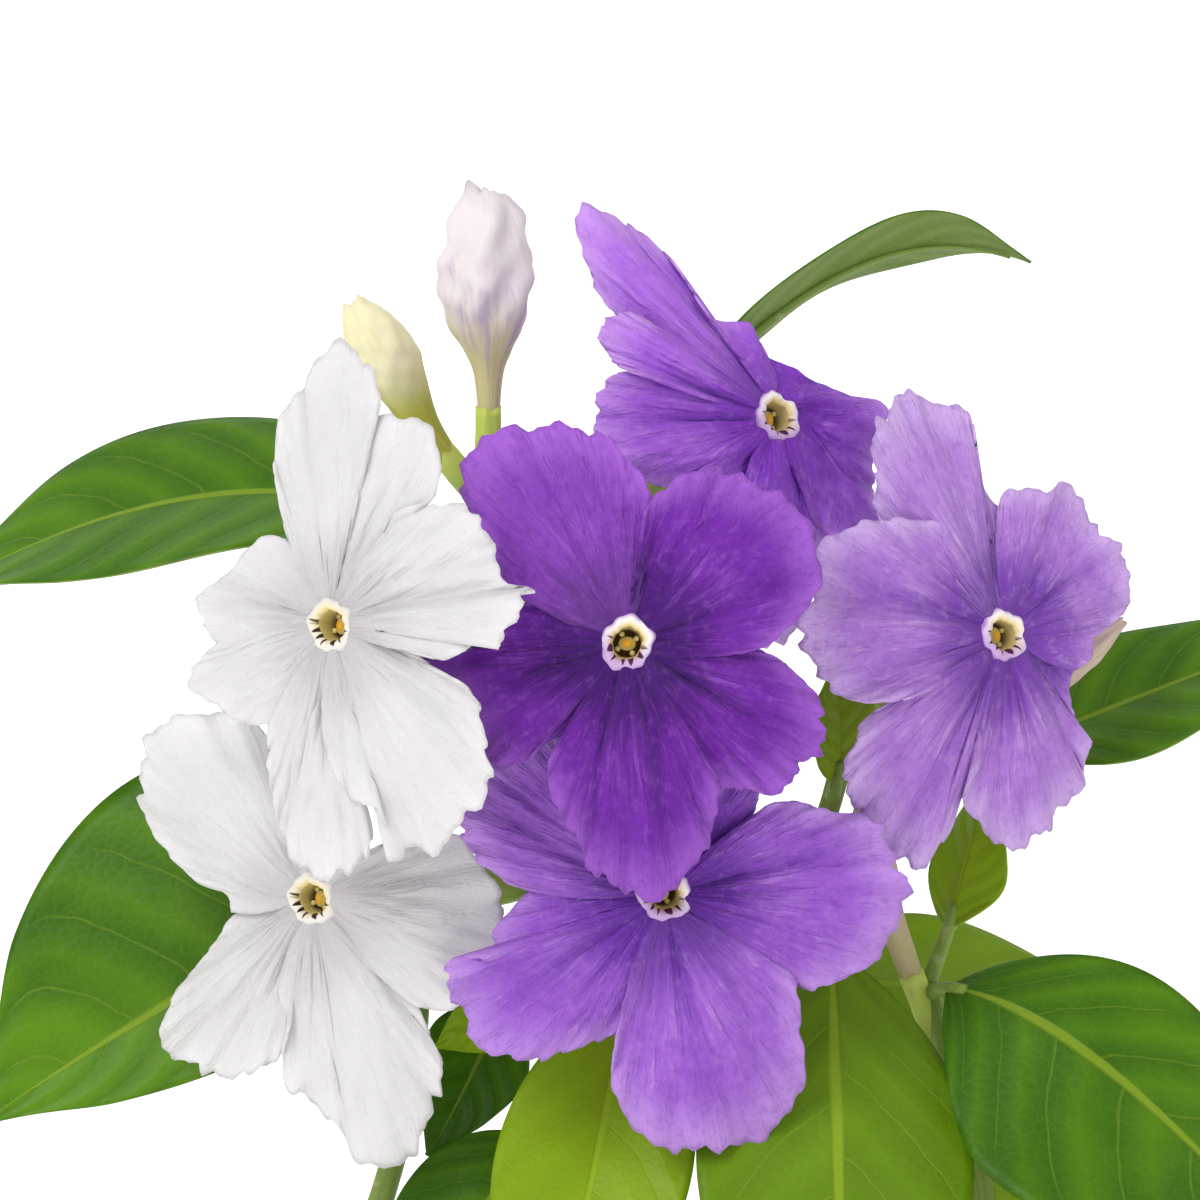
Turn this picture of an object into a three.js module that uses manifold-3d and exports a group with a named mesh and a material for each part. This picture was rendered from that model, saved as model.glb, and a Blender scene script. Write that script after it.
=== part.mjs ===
// Potted yesterday-today-and-tomorrow plant: a flowering shrub in a clay pot.
// Millimetres, +Z up, the front towards -Y, the origin at the centre of the pot's foot.

import * as THREE from 'three';
import Module from 'manifold-3d';

const wasm = await Module();
wasm.setup();

// Pot, soil and drain.
const potHeight = 125;
const potFootRadius = 49;
const potMouthRadius = 70;
const potWall = 5.5;
const potFloor = 8;
const collarHeight = 27;
const collarStep = 4;
const drainRadius = 4.5;
const drainCircle = 27;
const drainCount = 3;
const drainSides = 10;
const cavityFlare = 2;
const soilLevel = 110;
const soilMound = 5;
const seatGap = 0.3;
const seatSlack = 0.7;

// Flowers: a white eye ring round the mouth of a slender tube, which stands in a green calyx.
const ringRadius = 3.4;
const rootRadius = 2.2;
const ringThickness = 1.5;
const wellRadius = 1.75;
const wellDepth = 8;
const tubeLength = 22;
const tubeTopRadius = 2.6;
const tubeFootRadius = 1.5;
const calyxLength = 12;
const calyxShare = 0.24;
const seatShare = 0.55;
const calyxRadius = 3.1;
const toothLength = 2.2;
const budCalyxRadius = 2.5;
const budTubeRadius = 1;
const headShare = 0.5;
const stalkRadius = 1.05;
const petalThickness = 0.8;
const petalReflex = 3.2;
const petalReach = 24;
const petalRuffle = 0.9;
const rufflesPerLobe = 2.5;

// Foliage.
const leafThickness = 0.8;
const petioleRadius = 1.1;

// Facets.
const rodSides = 6;
const tubeSides = 7;
const petalColumns = 8;
const petalRows = 2;
const leafRows = 6;
const potSegments = 24;
const fillerRows = 4;
const stemSteps = 12;
const jointSamples = 120;

// Places on the plant are given as they look from the front: x to the right and h up from the
// middle of the flowers, and depth away from the viewer, who looks down a little.
const viewCentre = new THREE.Vector3(0, 0, 300);
const eyeDistance = 700;
const eyeTilt = THREE.MathUtils.degToRad(5);
const across = new THREE.Vector3(1, 0, 0);
const upward = new THREE.Vector3(0, Math.sin(eyeTilt), Math.cos(eyeTilt));
const away = new THREE.Vector3(0, Math.cos(eyeTilt), -Math.sin(eyeTilt));

function seen([x, h, depth]) {
  const spread = 1 + depth / eyeDistance;
  return viewCentre.clone()
    .addScaledVector(across, x * spread)
    .addScaledVector(upward, h * spread)
    .addScaledVector(away, depth);
}

// A direction, given by how far it turns right and how far it rises from facing the viewer.
function facing(turn, rise) {
  const t = THREE.MathUtils.degToRad(turn);
  const r = THREE.MathUtils.degToRad(rise);
  return new THREE.Vector3()
    .addScaledVector(away, -Math.cos(t) * Math.cos(r))
    .addScaledVector(across, Math.sin(t) * Math.cos(r))
    .addScaledVector(upward, Math.sin(r));
}

function mix(a, b, t) {
  return a.clone().lerp(b, t);
}

function smooth(t) {
  const c = Math.min(1, Math.max(0, t));
  return c * c * (3 - 2 * c);
}

// Solids

function solidFrom(points, triangles) {
  return new wasm.Manifold(new wasm.Mesh({
    numProp: 3,
    vertProperties: new Float32Array(points.flatMap((p) => [p.x, p.y, p.z])),
    triVerts: new Uint32Array(triangles.flat()),
  }));
}

function join(solids) {
  return solids.reduce((whole, piece) => whole.add(piece));
}

// A blade: a grid of points thickened to both sides along its normals, both faces split alike.
function blade(grid, thickness) {
  const rows = grid.length;
  const columns = grid[0].length;
  const upper = [];
  const lower = [];
  for (let i = 0; i < rows; i += 1) {
    for (let j = 0; j < columns; j += 1) {
      const alongRows = grid[Math.min(i + 1, rows - 1)][j].clone().sub(grid[Math.max(i - 1, 0)][j]);
      const alongColumns = grid[i][Math.min(j + 1, columns - 1)].clone().sub(grid[i][Math.max(j - 1, 0)]);
      const normal = alongRows.cross(alongColumns).normalize();
      upper.push(grid[i][j].clone().addScaledVector(normal, thickness / 2));
      lower.push(grid[i][j].clone().addScaledVector(normal, -thickness / 2));
    }
  }
  const under = rows * columns;
  const triangles = [];
  for (let i = 0; i < rows - 1; i += 1) {
    for (let j = 0; j < columns - 1; j += 1) {
      const a = i * columns + j;
      const b = a + columns;
      const c = b + 1;
      const d = a + 1;
      triangles.push([a, b, c], [a, c, d]);
      triangles.push([under + a, under + c, under + b], [under + a, under + d, under + c]);
    }
  }
  const rim = [];
  for (let i = 0; i < rows - 1; i += 1) rim.push(i * columns);
  for (let j = 0; j < columns - 1; j += 1) rim.push((rows - 1) * columns + j);
  for (let i = rows - 1; i > 0; i -= 1) rim.push(i * columns + columns - 1);
  for (let j = columns - 1; j > 0; j -= 1) rim.push(j);
  rim.forEach((p, k) => {
    const q = rim[(k + 1) % rim.length];
    triangles.push([q, p, under + p], [q, under + p, under + q]);
  });
  return solidFrom([...upper, ...lower], triangles);
}

// A rod along a smooth route: radiusAt gives its radius from the start, 0, to the end, 1, and
// teeth lengthens every second point of its last ring.
function rod(route, radiusAt, { sides = rodSides, steps = 6, teeth = 0 } = {}) {
  const curve = new THREE.CatmullRomCurve3(route, false, 'centripetal');
  const frames = curve.computeFrenetFrames(steps, false);
  const points = [];
  for (let i = 0; i <= steps; i += 1) {
    const centre = curve.getPointAt(i / steps);
    for (let j = 0; j < sides; j += 1) {
      const angle = (2 * Math.PI * j) / sides;
      const point = centre.clone()
        .addScaledVector(frames.normals[i], Math.cos(angle) * radiusAt(i / steps))
        .addScaledVector(frames.binormals[i], Math.sin(angle) * radiusAt(i / steps));
      if (i === steps && j % 2 === 1) point.addScaledVector(frames.tangents[i], teeth);
      points.push(point);
    }
  }
  const start = points.length;
  points.push(curve.getPointAt(0), curve.getPointAt(1));
  const triangles = [];
  for (let j = 0; j < sides; j += 1) {
    const k = (j + 1) % sides;
    for (let i = 0; i < steps; i += 1) {
      const a = i * sides + j;
      const b = i * sides + k;
      triangles.push([a, b, b + sides], [a, b + sides, a + sides]);
    }
    triangles.push([start, k, j], [start + 1, steps * sides + j, steps * sides + k]);
  }
  return solidFrom(points, triangles);
}

// A straight-sided or swelling solid turned about a vertical axis, from [radius, height] points.
function turned(profile, segments) {
  const geometry = new THREE.LatheGeometry(profile.map(([r, z]) => new THREE.Vector2(r, z)), segments);
  const places = geometry.getAttribute('position');
  const index = geometry.getIndex();
  const keys = new Map();
  const points = [];
  const renumbered = [];
  for (let i = 0; i < places.count; i += 1) {
    const point = new THREE.Vector3(places.getX(i), -places.getZ(i), places.getY(i));
    const key = [point.x, point.y, point.z].map((value) => Math.round(value * 1000)).join();
    if (!keys.has(key)) {
      keys.set(key, points.length);
      points.push(point);
    }
    renumbered.push(keys.get(key));
  }
  const triangles = [];
  for (let i = 0; i < index.count; i += 3) {
    const triangle = [0, 1, 2].map((k) => renumbered[index.getX(i + k)]);
    if (new Set(triangle).size === 3) triangles.push(triangle);
  }
  return solidFrom(points, triangles);
}

const plant = new THREE.Group();

function addPart(name, solid, colour, roughness) {
  const shape = solid.getMesh();
  const geometry = new THREE.BufferGeometry();
  geometry.setAttribute('position', new THREE.BufferAttribute(new Float32Array(shape.vertProperties), 3));
  geometry.setIndex(new THREE.BufferAttribute(new Uint32Array(shape.triVerts), 1));
  geometry.computeVertexNormals();
  const material = new THREE.MeshStandardMaterial({ color: colour, roughness, metalness: 0 });
  const mesh = new THREE.Mesh(geometry, material);
  mesh.name = name;
  plant.add(mesh);
}

// Flowers

// Each lobe is its edge as seen from the front, [right, up] from the throat, anticlockwise. over
// lifts its first and last side, so that neighbours overlap.
const deepVioletLobes = [
  { edge: [[2, 10], [2.5, 18], [-3.5, 25], [-9, 26.5], [-12, 25], [-16, 25.5], [-19.5, 21], [-18.5, 14],
    [-15, 7], [-9, 4]], over: [-0.9, 0.5] },
  { edge: [[9, -1], [14.5, -1], [18.5, 0.5], [21, 3.5], [23, 8], [22.5, 13], [19, 17], [12, 20.5],
    [6.5, 20], [2.5, 16], [1.5, 8]], over: [0.8, 0.9] },
  { edge: [[7.5, -12], [11, -17], [17, -18], [21.5, -14.5], [23.5, -10], [21.5, -5], [19, -2.5],
    [11, -1]], over: [-0.7, -0.7] },
  { edge: [[-7, -10], [-9.5, -15], [-8, -20], [-4, -27], [1.5, -30.5], [6, -29.5], [9.5, -24], [11, -17],
    [8, -12]], over: [0.6, 0.8] },
  { edge: [[-9, 4.5], [-16, 4], [-19, 1], [-24, -2], [-21, -6], [-18.5, -10], [-17, -14], [-12.5, -14.5],
    [-10, -12.5], [-7, -10]], over: [-0.4, -0.6] },
];

const leftWhiteLobes = [
  { edge: [[5, 9], [8, 14], [12, 16], [13, 21], [11, 24.5], [6, 26], [5, 30], [0.5, 34], [-3.5, 31],
    [-6, 26], [-7.5, 19], [-5, 10]], over: [-0.8, 0.6] },
  { edge: [[7, -2], [14, -4], [20, -2.5], [22, 1], [24.5, 4.2], [20.5, 7], [17, 14], [11, 14], [6, 10],
    [4, 7]], over: [0.8, 0.8] },
  { edge: [[-0.8, -12], [1, -18], [6, -22.5], [7.5, -28.5], [10.5, -26.5], [13, -27], [18, -21], [19, -15],
    [16.5, -7.5], [9, -3]], over: [0.9, -0.7] },
  { edge: [[-7, -9], [-8.5, -15], [-7, -24], [-4, -29.5], [1, -30.2], [4, -27.5], [4.5, -22],
    [1, -14]], over: [0.5, -0.8] },
  { edge: [[-4.5, 9], [-8, 11], [-13, 7.5], [-17.5, 3], [-15.5, -1.5], [-18.5, -6.5], [-15, -10],
    [-10, -11.5], [-6.5, -9]], over: [-0.7, -0.5] },
];

const lowWhiteLobes = [
  { edge: [[-3, 7.5], [-4.5, 14], [-6, 20], [-11.5, 23], [-18, 22], [-23, 17.5], [-22, 9.5], [-16, 3],
    [-10, -1.5]], over: [0.7, 0.4] },
  { edge: [[4, 5.5], [5, 10], [3.5, 14], [-1, 15], [-3.5, 11], [-2.5, 7]], over: [-0.6, -0.7] },
  { edge: [[9, -9.5], [13.5, -13], [19, -12], [23.5, -6], [23.5, 0], [19.5, 7], [13, 8], [5, 5.5]],
    over: [0.7, 0.5] },
  { edge: [[-4, -10], [-3.5, -16], [-4, -21], [0, -26.5], [5, -32], [8, -34], [12, -31.5], [15.5, -25],
    [15.5, -18], [12, -12.5], [8.5, -9]], over: [0.6, -0.8] },
  { edge: [[-9, -2.5], [-13, -6.5], [-19, -14.5], [-19.5, -19.5], [-14, -22.7], [-7.5, -22], [-3.7, -18],
    [-4, -10]], over: [-0.6, -0.6] },
];

const bottomVioletLobes = [
  { edge: [[-5, 10], [-10.5, 18.5], [-17, 20], [-23, 16], [-25.5, 10.5], [-22.5, 4.5], [-17, 0.5],
    [-10, 0]], over: [0.6, 0.6] },
  { edge: [[8, 6], [11, 9.5], [11.5, 13], [9, 17.5], [2, 18.5], [-3, 15], [-3.5, 9]], over: [-0.7, -0.7] },
  { edge: [[11.5, -7], [16.5, -11.5], [22, -11], [27.5, -6.5], [29.5, -1], [27.5, 6], [21, 10], [13, 11],
    [8, 6.5]], over: [-0.7, 0.7] },
  { edge: [[-3.5, -9], [-6.3, -18], [-5.5, -26], [0, -31], [4, -32.5], [8.5, -31.2], [13.5, -29.5],
    [17, -23], [16.5, -14], [13, -9], [9, -6]], over: [0.7, 0.8] },
  { edge: [[-10, 0.5], [-18, -2], [-20.8, -7], [-25.5, -8.5], [-25.5, -14], [-20.5, -20], [-12.5, -19.5],
    [-6, -16.5], [-3.5, -9]], over: [-0.6, -0.7] },
];

const topVioletLobes = [
  { edge: [[-0.8, 6], [-2.5, 10.5], [-8, 12.2], [-11.5, 17], [-16, 22], [-24, 26], [-24, 20], [-20.5, 13.5],
    [-12, 7.8]], over: [0.5, -0.8] },
  { edge: [[-12, 8.5], [-18.5, 12], [-22, 10], [-20, 6.5], [-11, 2.8]], over: [0.8, 0.7] },
  { edge: [[-11, 3], [-19, 5], [-22.5, 0], [-20.5, -6], [-14, -8.8], [-5, -7]], over: [-0.7, -0.6] },
  { edge: [[-3, -6], [-4, -11], [-1, -15], [3.5, -15.5], [4, -10], [2, -6]], over: [0.7, -0.8] },
  { edge: [[2.4, -6], [5.5, -13], [10, -15.3], [13, -12], [12.5, -5], [14, 1.5], [9.5, 3], [4, 4.6],
    [0.3, 5.8]], over: [0.6, -0.5] },
];

const lavenderLobes = [
  { edge: [[-0.5, 13], [-2.2, 18], [-4, 27.5], [-8, 29.5], [-12, 30.3], [-15, 26], [-16, 20], [-14, 13],
    [-6, 6.5]], over: [-0.6, -0.9] },
  { edge: [[7, -2], [11.5, -1.5], [15, 2.5], [17, 6], [15, 11.5], [11, 15.5], [7.5, 19], [3, 18],
    [-0.3, 17], [-0.2, 10]], over: [0.7, 0.6] },
  { edge: [[-3, -14], [-4.5, -20], [-0.5, -26], [5, -25.2], [9.5, -20.5], [11.2, -15], [8.5, -8],
    [7.5, -3]], over: [0.7, -0.7] },
  { edge: [[-9, -6], [-16, -10], [-19.7, -17], [-17, -24], [-10.5, -29], [-7, -25], [-5, -19],
    [-3, -13]], over: [-0.6, -0.7] },
  { edge: [[-5.5, 9], [-9, 14], [-17, 14.2], [-23, 10], [-24.5, 3], [-24.5, -2.5], [-19, -8], [-13, -8],
    [-8, -5]], over: [0.9, 0.7] },
];

// Five alike lobes for the flowers that turn away, wide and round, with a shallow notch.
function evenLobes(reach, startAngle) {
  return [0, 1, 2, 3, 4].map((n) => {
    const middle = THREE.MathUtils.degToRad(startAngle + 72 * n);
    const edge = [[-34, 0.36], [-37, 0.74], [-20, 0.99], [0, 0.95], [21, 1], [37, 0.74], [34, 0.36]];
    return {
      edge: edge.map(([angle, share]) => {
        const around = middle + THREE.MathUtils.degToRad(angle);
        return [Math.cos(around) * share * reach, Math.sin(around) * share * reach];
      }),
      over: [0.7, -0.7],
    };
  });
}

const deepViolet = 0x6a2aa6;
const violet = 0x8a4fc6;
const lavender = 0xa571d9;
const white = 0xf2eff2;

// stem names the leafy stem that carries the flower, and joint where its stalk leaves it. lobes
// of a flower that turns its back are given as seen through it from the front.
const flowers = [
  { name: 'bloom_deep_violet', throat: [3.4, -5.4, -32], turn: 0, rise: 2, lobes: deepVioletLobes,
    colour: deepViolet, stem: 'centre', joint: [-4.5, -8, 8] },
  { name: 'bloom_white_left', throat: [-33.5, -3.2, -28], turn: -37, rise: 2, lobes: leftWhiteLobes,
    colour: white, stem: 'centre', joint: [-5, -6, 8] },
  { name: 'bloom_white_low', throat: [-35.9, -37.4, -4], turn: -30, rise: 0, lobes: lowWhiteLobes,
    colour: white, stem: 'centre', joint: [-6, -34, 13] },
  { name: 'bloom_violet_low', throat: [8, -36.8, -22], turn: 6, rise: -6, lobes: bottomVioletLobes,
    colour: violet, stem: 'centre', joint: [-5, -26, 12] },
  { name: 'bloom_violet_top', throat: [22.1, 22.9, -8], turn: 36, rise: 8, lobes: topVioletLobes,
    colour: violet, stem: 'centre', joint: [-3, 1, 12] },
  { name: 'bloom_lavender', throat: [50.4, -4.4, -8], turn: 30, rise: 3, lobes: lavenderLobes,
    colour: lavender, stem: 'right_branch', joint: [34, -17, 17] },
  { name: 'bloom_back_violet', throat: [-14, -8, 52], turn: -155, rise: 6, lobes: evenLobes(22, 54),
    columns: 7, colour: violet, stem: 'back', joint: [2, -24, 26] },
  { name: 'bloom_back_lavender', throat: [16, 11, 58], turn: 152, rise: 10, lobes: evenLobes(19, 60),
    columns: 7, colour: lavender, stem: 'back', joint: [6, -18, 26] },
  ];

// The flower's own frame: the throat, its facing, and how a step seen to the right or up runs in
// the plane of its limb.
function flowerFrame({ throat, turn, rise }) {
  const centre = seen(throat);
  const normal = facing(turn, rise);
  const slope = away.dot(normal);
  const toward = away.clone().multiplyScalar(Math.sign(slope) || 1);
  const stepRight = across.clone().addScaledVector(away, -across.dot(normal) / slope);
  const stepUp = upward.clone().addScaledVector(away, -upward.dot(normal) / slope);
  return { centre, normal, stepRight, stepUp, toward, steepness: Math.abs(slope) };
}

// A lobe fans out from its share of the eye ring to its edge. It bends back towards the edge,
// where it is ruffled, and its sides lift over or dip under its neighbours.
function lobeSolid(frame, { edge, over }, phase, columns) {
  const flat = ([x, y]) => frame.stepRight.clone().multiplyScalar(x).addScaledVector(frame.stepUp, y);
  const outline = new THREE.CatmullRomCurve3(edge.map(([x, y]) => new THREE.Vector3(x, y, 0)), false,
    'centripetal');
  const first = flat(edge[0]).normalize();
  const last = flat(edge[edge.length - 1]).normalize();
  const sweep = first.angleTo(last);
  const grid = [];
  for (let i = 0; i <= petalRows; i += 1) {
    const t = i / petalRows;
    const row = [];
    for (let j = 0; j < columns; j += 1) {
      const s = j / (columns - 1);
      const share = Math.sin(sweep * s) / Math.sin(sweep);
      const rest = Math.sin(sweep * (1 - s)) / Math.sin(sweep);
      const root = first.clone().multiplyScalar(rest * rootRadius)
        .addScaledVector(last, share * rootRadius);
      const rim = outline.getPointAt(s);
      const place = root.lerp(flat([rim.x, rim.y]), t);
      const bend = -petalReflex * (place.length() / petalReach) ** 2;
      const wave = Math.sin(2 * Math.PI * rufflesPerLobe * s + phase);
      const ruffle = petalRuffle * t ** 3 * 4 * s * (1 - s) * wave;
      const layer = over[0] * (1 - s) + over[1] * s;
      place.addScaledVector(frame.toward, (bend + ruffle + layer) / frame.steepness);
      row.push(place.add(frame.centre));
    }
    grid.push(row);
  }
  return blade(grid, petalThickness);
}

// The round seat that a tube needs in its calyx, from just outside the teeth to under its foot.
function seatFor(outside, tubeFoot, radius) {
  const deeper = tubeFoot.clone().sub(outside).setLength(2 * seatGap);
  return rod([outside, tubeFoot.clone().add(deeper)], () => radius + seatSlack,
    { sides: tubeSides, steps: 1 });
}

// The corolla in one piece: five lobes, the eye ring and the tube, with a well at its mouth. It
// also gives the grown tube that clears a seat in the calyx, and where the calyx begins and ends.
function flowerSolids(flower, phase) {
  const frame = flowerFrame(flower);
  const { centre, normal } = frame;
  const { joint } = flower;
  const back = centre.clone().addScaledVector(normal, -tubeLength * 0.55);
  const bend = centre.clone().addScaledVector(normal, -tubeLength);
  const calyxMouth = mix(bend, joint, calyxShare);
  const stalkward = joint.clone().sub(calyxMouth).normalize();
  const calyxFoot = calyxMouth.clone().addScaledVector(stalkward, calyxLength);
  const tubeFoot = mix(calyxMouth, calyxFoot, seatShare);
  const route = [centre.clone().addScaledVector(normal, 0.2), back, bend, calyxMouth, tubeFoot];
  const tubeRadius = (t) => tubeTopRadius + (tubeFootRadius - tubeTopRadius) * smooth(t * 1.4);
  const grown = seatFor(bend, tubeFoot, tubeFootRadius);
  const { columns = petalColumns } = flower;
  const lobes = flower.lobes.map((lobe, n) => lobeSolid(frame, lobe, phase + 1.7 * n, columns));
  const ringFoot = centre.clone().addScaledVector(normal, -ringThickness);
  const ringTop = centre.clone().addScaledVector(normal, ringThickness);
  const ring = rod([ringFoot, centre.clone(), ringTop], (t) => ringRadius * (1 - 0.12 * t),
    { sides: 8, steps: 1 });
  const wellTop = centre.clone().addScaledVector(normal, 2 * ringThickness);
  const wellFoot = centre.clone().addScaledVector(normal, -wellDepth);
  const well = rod([wellTop, wellFoot], () => wellRadius, { sides: tubeSides, steps: 1 });
  const tube = rod(route, tubeRadius, { sides: tubeSides, steps: 5 });
  const corolla = join([...lobes, ring, tube]).subtract(well);
  return { corolla, grown, frame, joint, calyxMouth, calyxFoot };
}

// The stigma and anthers: one small yellow column that stands in the well.
function pistilSolid({ centre, normal }) {
  const foot = centre.clone().addScaledVector(normal, -wellDepth + seatGap);
  const head = centre.clone().addScaledVector(normal, -1.6);
  return rod([foot, mix(foot, head, 0.5), head], (t) => (t < 0.6 ? 0.5 : 1), { sides: 5, steps: 2 });
}

// A calyx with five teeth on its stalk, to be joined to the stem that carries it.
function calyxSolid({ calyxMouth, calyxFoot, joint, cupRadius = calyxRadius }) {
  const belly = (t) => stalkRadius + (cupRadius - stalkRadius) * Math.sin(Math.min(1, 0.25 + t) * 2.2);
  const cup = rod([calyxFoot, mix(calyxFoot, calyxMouth, 0.5), calyxMouth], belly,
    { sides: 10, steps: 2, teeth: toothLength * (cupRadius / calyxRadius) ** 2 });
  const stalk = rod([mix(calyxFoot, calyxMouth, 0.15), calyxFoot, joint], () => stalkRadius,
    { sides: 5, steps: 2 });
  return cup.add(stalk);
}

// Buds: a furled head on its tube, in a calyx of its own. The route runs from the tip to the foot.
const creamBud = 0xe6dcae;
const lilacBud = 0xdccbe6;
const buds = [
  { name: 'bud_cream', colour: creamBud, stem: 'centre', joint: [-5, -3, 8],
    headRadius: 4.4, route: [[-30.8, 36.8, 0], [-27.6, 32, 1], [-24.7, 26.7, 2], [-21.8, 21.2, 3],
      [-19.4, 18.2, 3.5]] },
  { name: 'bud_lilac', colour: lilacBud, stem: 'centre', joint: [-4, 0, 9],
    headRadius: 5.6, route: [[-14.4, 51, 2], [-14.2, 40, 2], [-14, 32.4, 2], [-13.9, 23.9, 3],
      [-13.9, 18.9, 4]] },
  { name: 'bud_blush', colour: lilacBud, stem: 'right_branch', joint: [36, -17, 18],
    headRadius: 3.2, route: [[65.3, -2.6, 9], [61, -6.3, 9.4], [56.3, -10.2, 10], [51, -14.4, 10.8],
      [47, -17.4, 11.6]] },
  { name: 'bud_slim', colour: lilacBud, stem: 'right', joint: [41, -51, 9],
    headRadius: 2.8, route: [[32.6, -25, 7], [33.8, -31, 7.5], [35.4, -37, 8], [38.9, -46.8, 9],
      [39.8, -49, 9.5]] },
];

function budSolids({ route, joint, headRadius }) {
  const places = route.map(seen);
  const calyxMouth = places[places.length - 2];
  const foot = places[places.length - 1];
  const stalkward = foot.clone().sub(calyxMouth).normalize();
  const calyxFoot = calyxMouth.clone().addScaledVector(stalkward, calyxLength);
  const tubeFoot = mix(calyxMouth, calyxFoot, 0.5);
  const swell = (t) => {
    const head = t < headShare ? Math.sin((t / headShare) * Math.PI) ** 0.8 : 0;
    return Math.max(0.5, head * headRadius, smooth(t * 4) * budTubeRadius * (1 + 0.6 * (1 - t)));
  };
  const bud = rod([...places.slice(0, -1), tubeFoot], swell, { sides: tubeSides, steps: 9 });
  const outside = mix(calyxMouth, places[places.length - 3], 0.6);
  const grown = seatFor(outside, tubeFoot, budTubeRadius);
  return { bud, grown, calyxMouth, calyxFoot, joint, cupRadius: budCalyxRadius };
}

// Leaves

// A leaf blade along its midrib, from base over via to tip. half is its widest half as seen,
// from the midrib to its edge; fold lifts both edges and wave ripples them.
function leafSolid({ base, via, tip, half, fold = 0.25, wave = 0.8, rows = leafRows, widest = 0.45,
  breadths = [-1, 0, 1], thickness = leafThickness }) {
  const midrib = new THREE.QuadraticBezierCurve3(base, via, tip);
  const grid = [];
  const width = half.length();
  for (let i = 0; i <= rows; i += 1) {
    const u = i / rows;
    const centre = midrib.getPoint(u);
    const along = midrib.getTangent(u);
    const side = half.clone().addScaledVector(along, -half.dot(along)).normalize();
    const face = side.clone().cross(along);
    const swell = Math.sin(Math.PI * u ** (Math.log(0.5) / Math.log(widest))) ** 0.8;
    const breadth = Math.max(0.45, width * swell);
    grid.push(breadths.map((v) => {
      const lift = fold * Math.abs(v) * breadth * (1 - 0.45 * Math.abs(v));
      const ripple = wave * v * v * Math.sin(9 * u + 1.3 * Math.sign(v)) * swell;
      return centre.clone().addScaledVector(side, v * breadth).addScaledVector(face, lift + ripple);
    }));
  }
  return blade(grid, thickness);
}

function petioleSolid(from, base, tipward) {
  const inside = base.clone().addScaledVector(tipward, 3);
  return rod([from, base, inside], (t) => petioleRadius * (1 - 0.35 * t), { sides: 4, steps: 2 });
}

// The leaves that show from the front, as they are seen: from the stem at joint.
const seenLeaves = [
  { name: 'upper left', stem: 'centre', joint: [-5, -4, 12], base: [-24, 11, 14], via: [-52, 19, 16],
    tip: [-84, 0, 24], half: [0, 9.4, 13], fold: 0.2 },
  { name: 'lower left', stem: 'left', joint: [-23, -42, 22], base: [-27, -36, 20], via: [-54, -49.5, 24],
    tip: [-77.5, -65.5, 22], half: [-6.5, 24, 5], fold: 0.14, widest: 0.35, rows: 11,
    breadths: [-0.46, 0, 0.55, 1.1] },
  { name: 'hanging right', stem: 'right_branch', joint: [23.5, -43, 10], base: [29, -44, 4],
    via: [30, -70, -16], tip: [30, -112, -26], half: [17, 0, 3], fold: 0.15 },
  { name: 'young, hanging', stem: 'centre', joint: [-3, -45, 13], base: [3, -50, 4], via: [0, -72, -6],
    tip: [-8, -100, -24], half: [-12, 2, 2], fold: 0.25 },
  { name: 'dark, low', stem: 'left', joint: [-20, -58, 22], base: [-12, -50, 19], via: [-15, -58, 17],
    tip: [-21.6, -69.5, 16], half: [6, -3, 4], fold: 0.14 },
  { name: 'pale curl', stem: 'centre', joint: [-5, -49, 14], base: [-9, -51, 12], via: [-14, -52.5, 10],
    tip: [-20.6, -56, 9], half: [1.3, -3.9, 1.5], fold: 0.4 },
  { name: 'dark, lower', stem: 'centre', joint: [-3, -62, 14], base: [-9, -67, 10], via: [-14, -76, 2],
    tip: [-30, -98, 0], half: [-6, 7, 4], fold: 0.2 },
  { name: 'top right', stem: 'centre', joint: [3, 14, 15], base: [12, 27, 18], via: [35, 51, 26],
    tip: [53.8, 42.2, 34], half: [1.2, -2.2, 8.3], fold: -0.2 },
  { name: 'right', stem: 'right_branch', joint: [36, -19, 19], base: [52, -18.5, 22], via: [66, -12.6, 20],
    tip: [94, -2, 22], half: [1.5, -7.3, -9], fold: 0.2 },
  { name: 'small, middle', stem: 'right_branch', joint: [28.8, -25.5, 10], base: [29.4, -22.9, 7],
    via: [30.5, -16, 5], tip: [29, -7.5, 2], half: [4.2, 1, 2.5], fold: 0.4 },
  { name: 'rising', stem: 'right', joint: [41, -48.5, 10], base: [43.6, -41, 10.5], via: [45.5, -33, 13],
    tip: [49, -21.5, 12], half: [-4.2, 0.8, 4], fold: 0.35 },
  { name: 'pale, behind', stem: 'right_branch', joint: [22, -48, 10], base: [24, -50, 18],
    via: [44, -43, 30], tip: [74, -60, 34], half: [0, 9, 8], fold: 0.2 },
  { name: 'lower right', stem: 'right', joint: [41, -49, 8], base: [43.5, -48.5, 3],
    via: [62, -50.5, -14], tip: [94, -91, -12], half: [7.5, 10.5, 8], fold: 0.14, widest: 0.5,
    breadths: [-1.4, 0, 1] },
  { name: 'yellow green', stem: 'right', joint: [42, -55, 9], base: [43, -54, 12], via: [52, -68, 17],
    tip: [62, -97, 14], half: [-8.5, -3, 6], fold: 0.2 },
];

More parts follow.
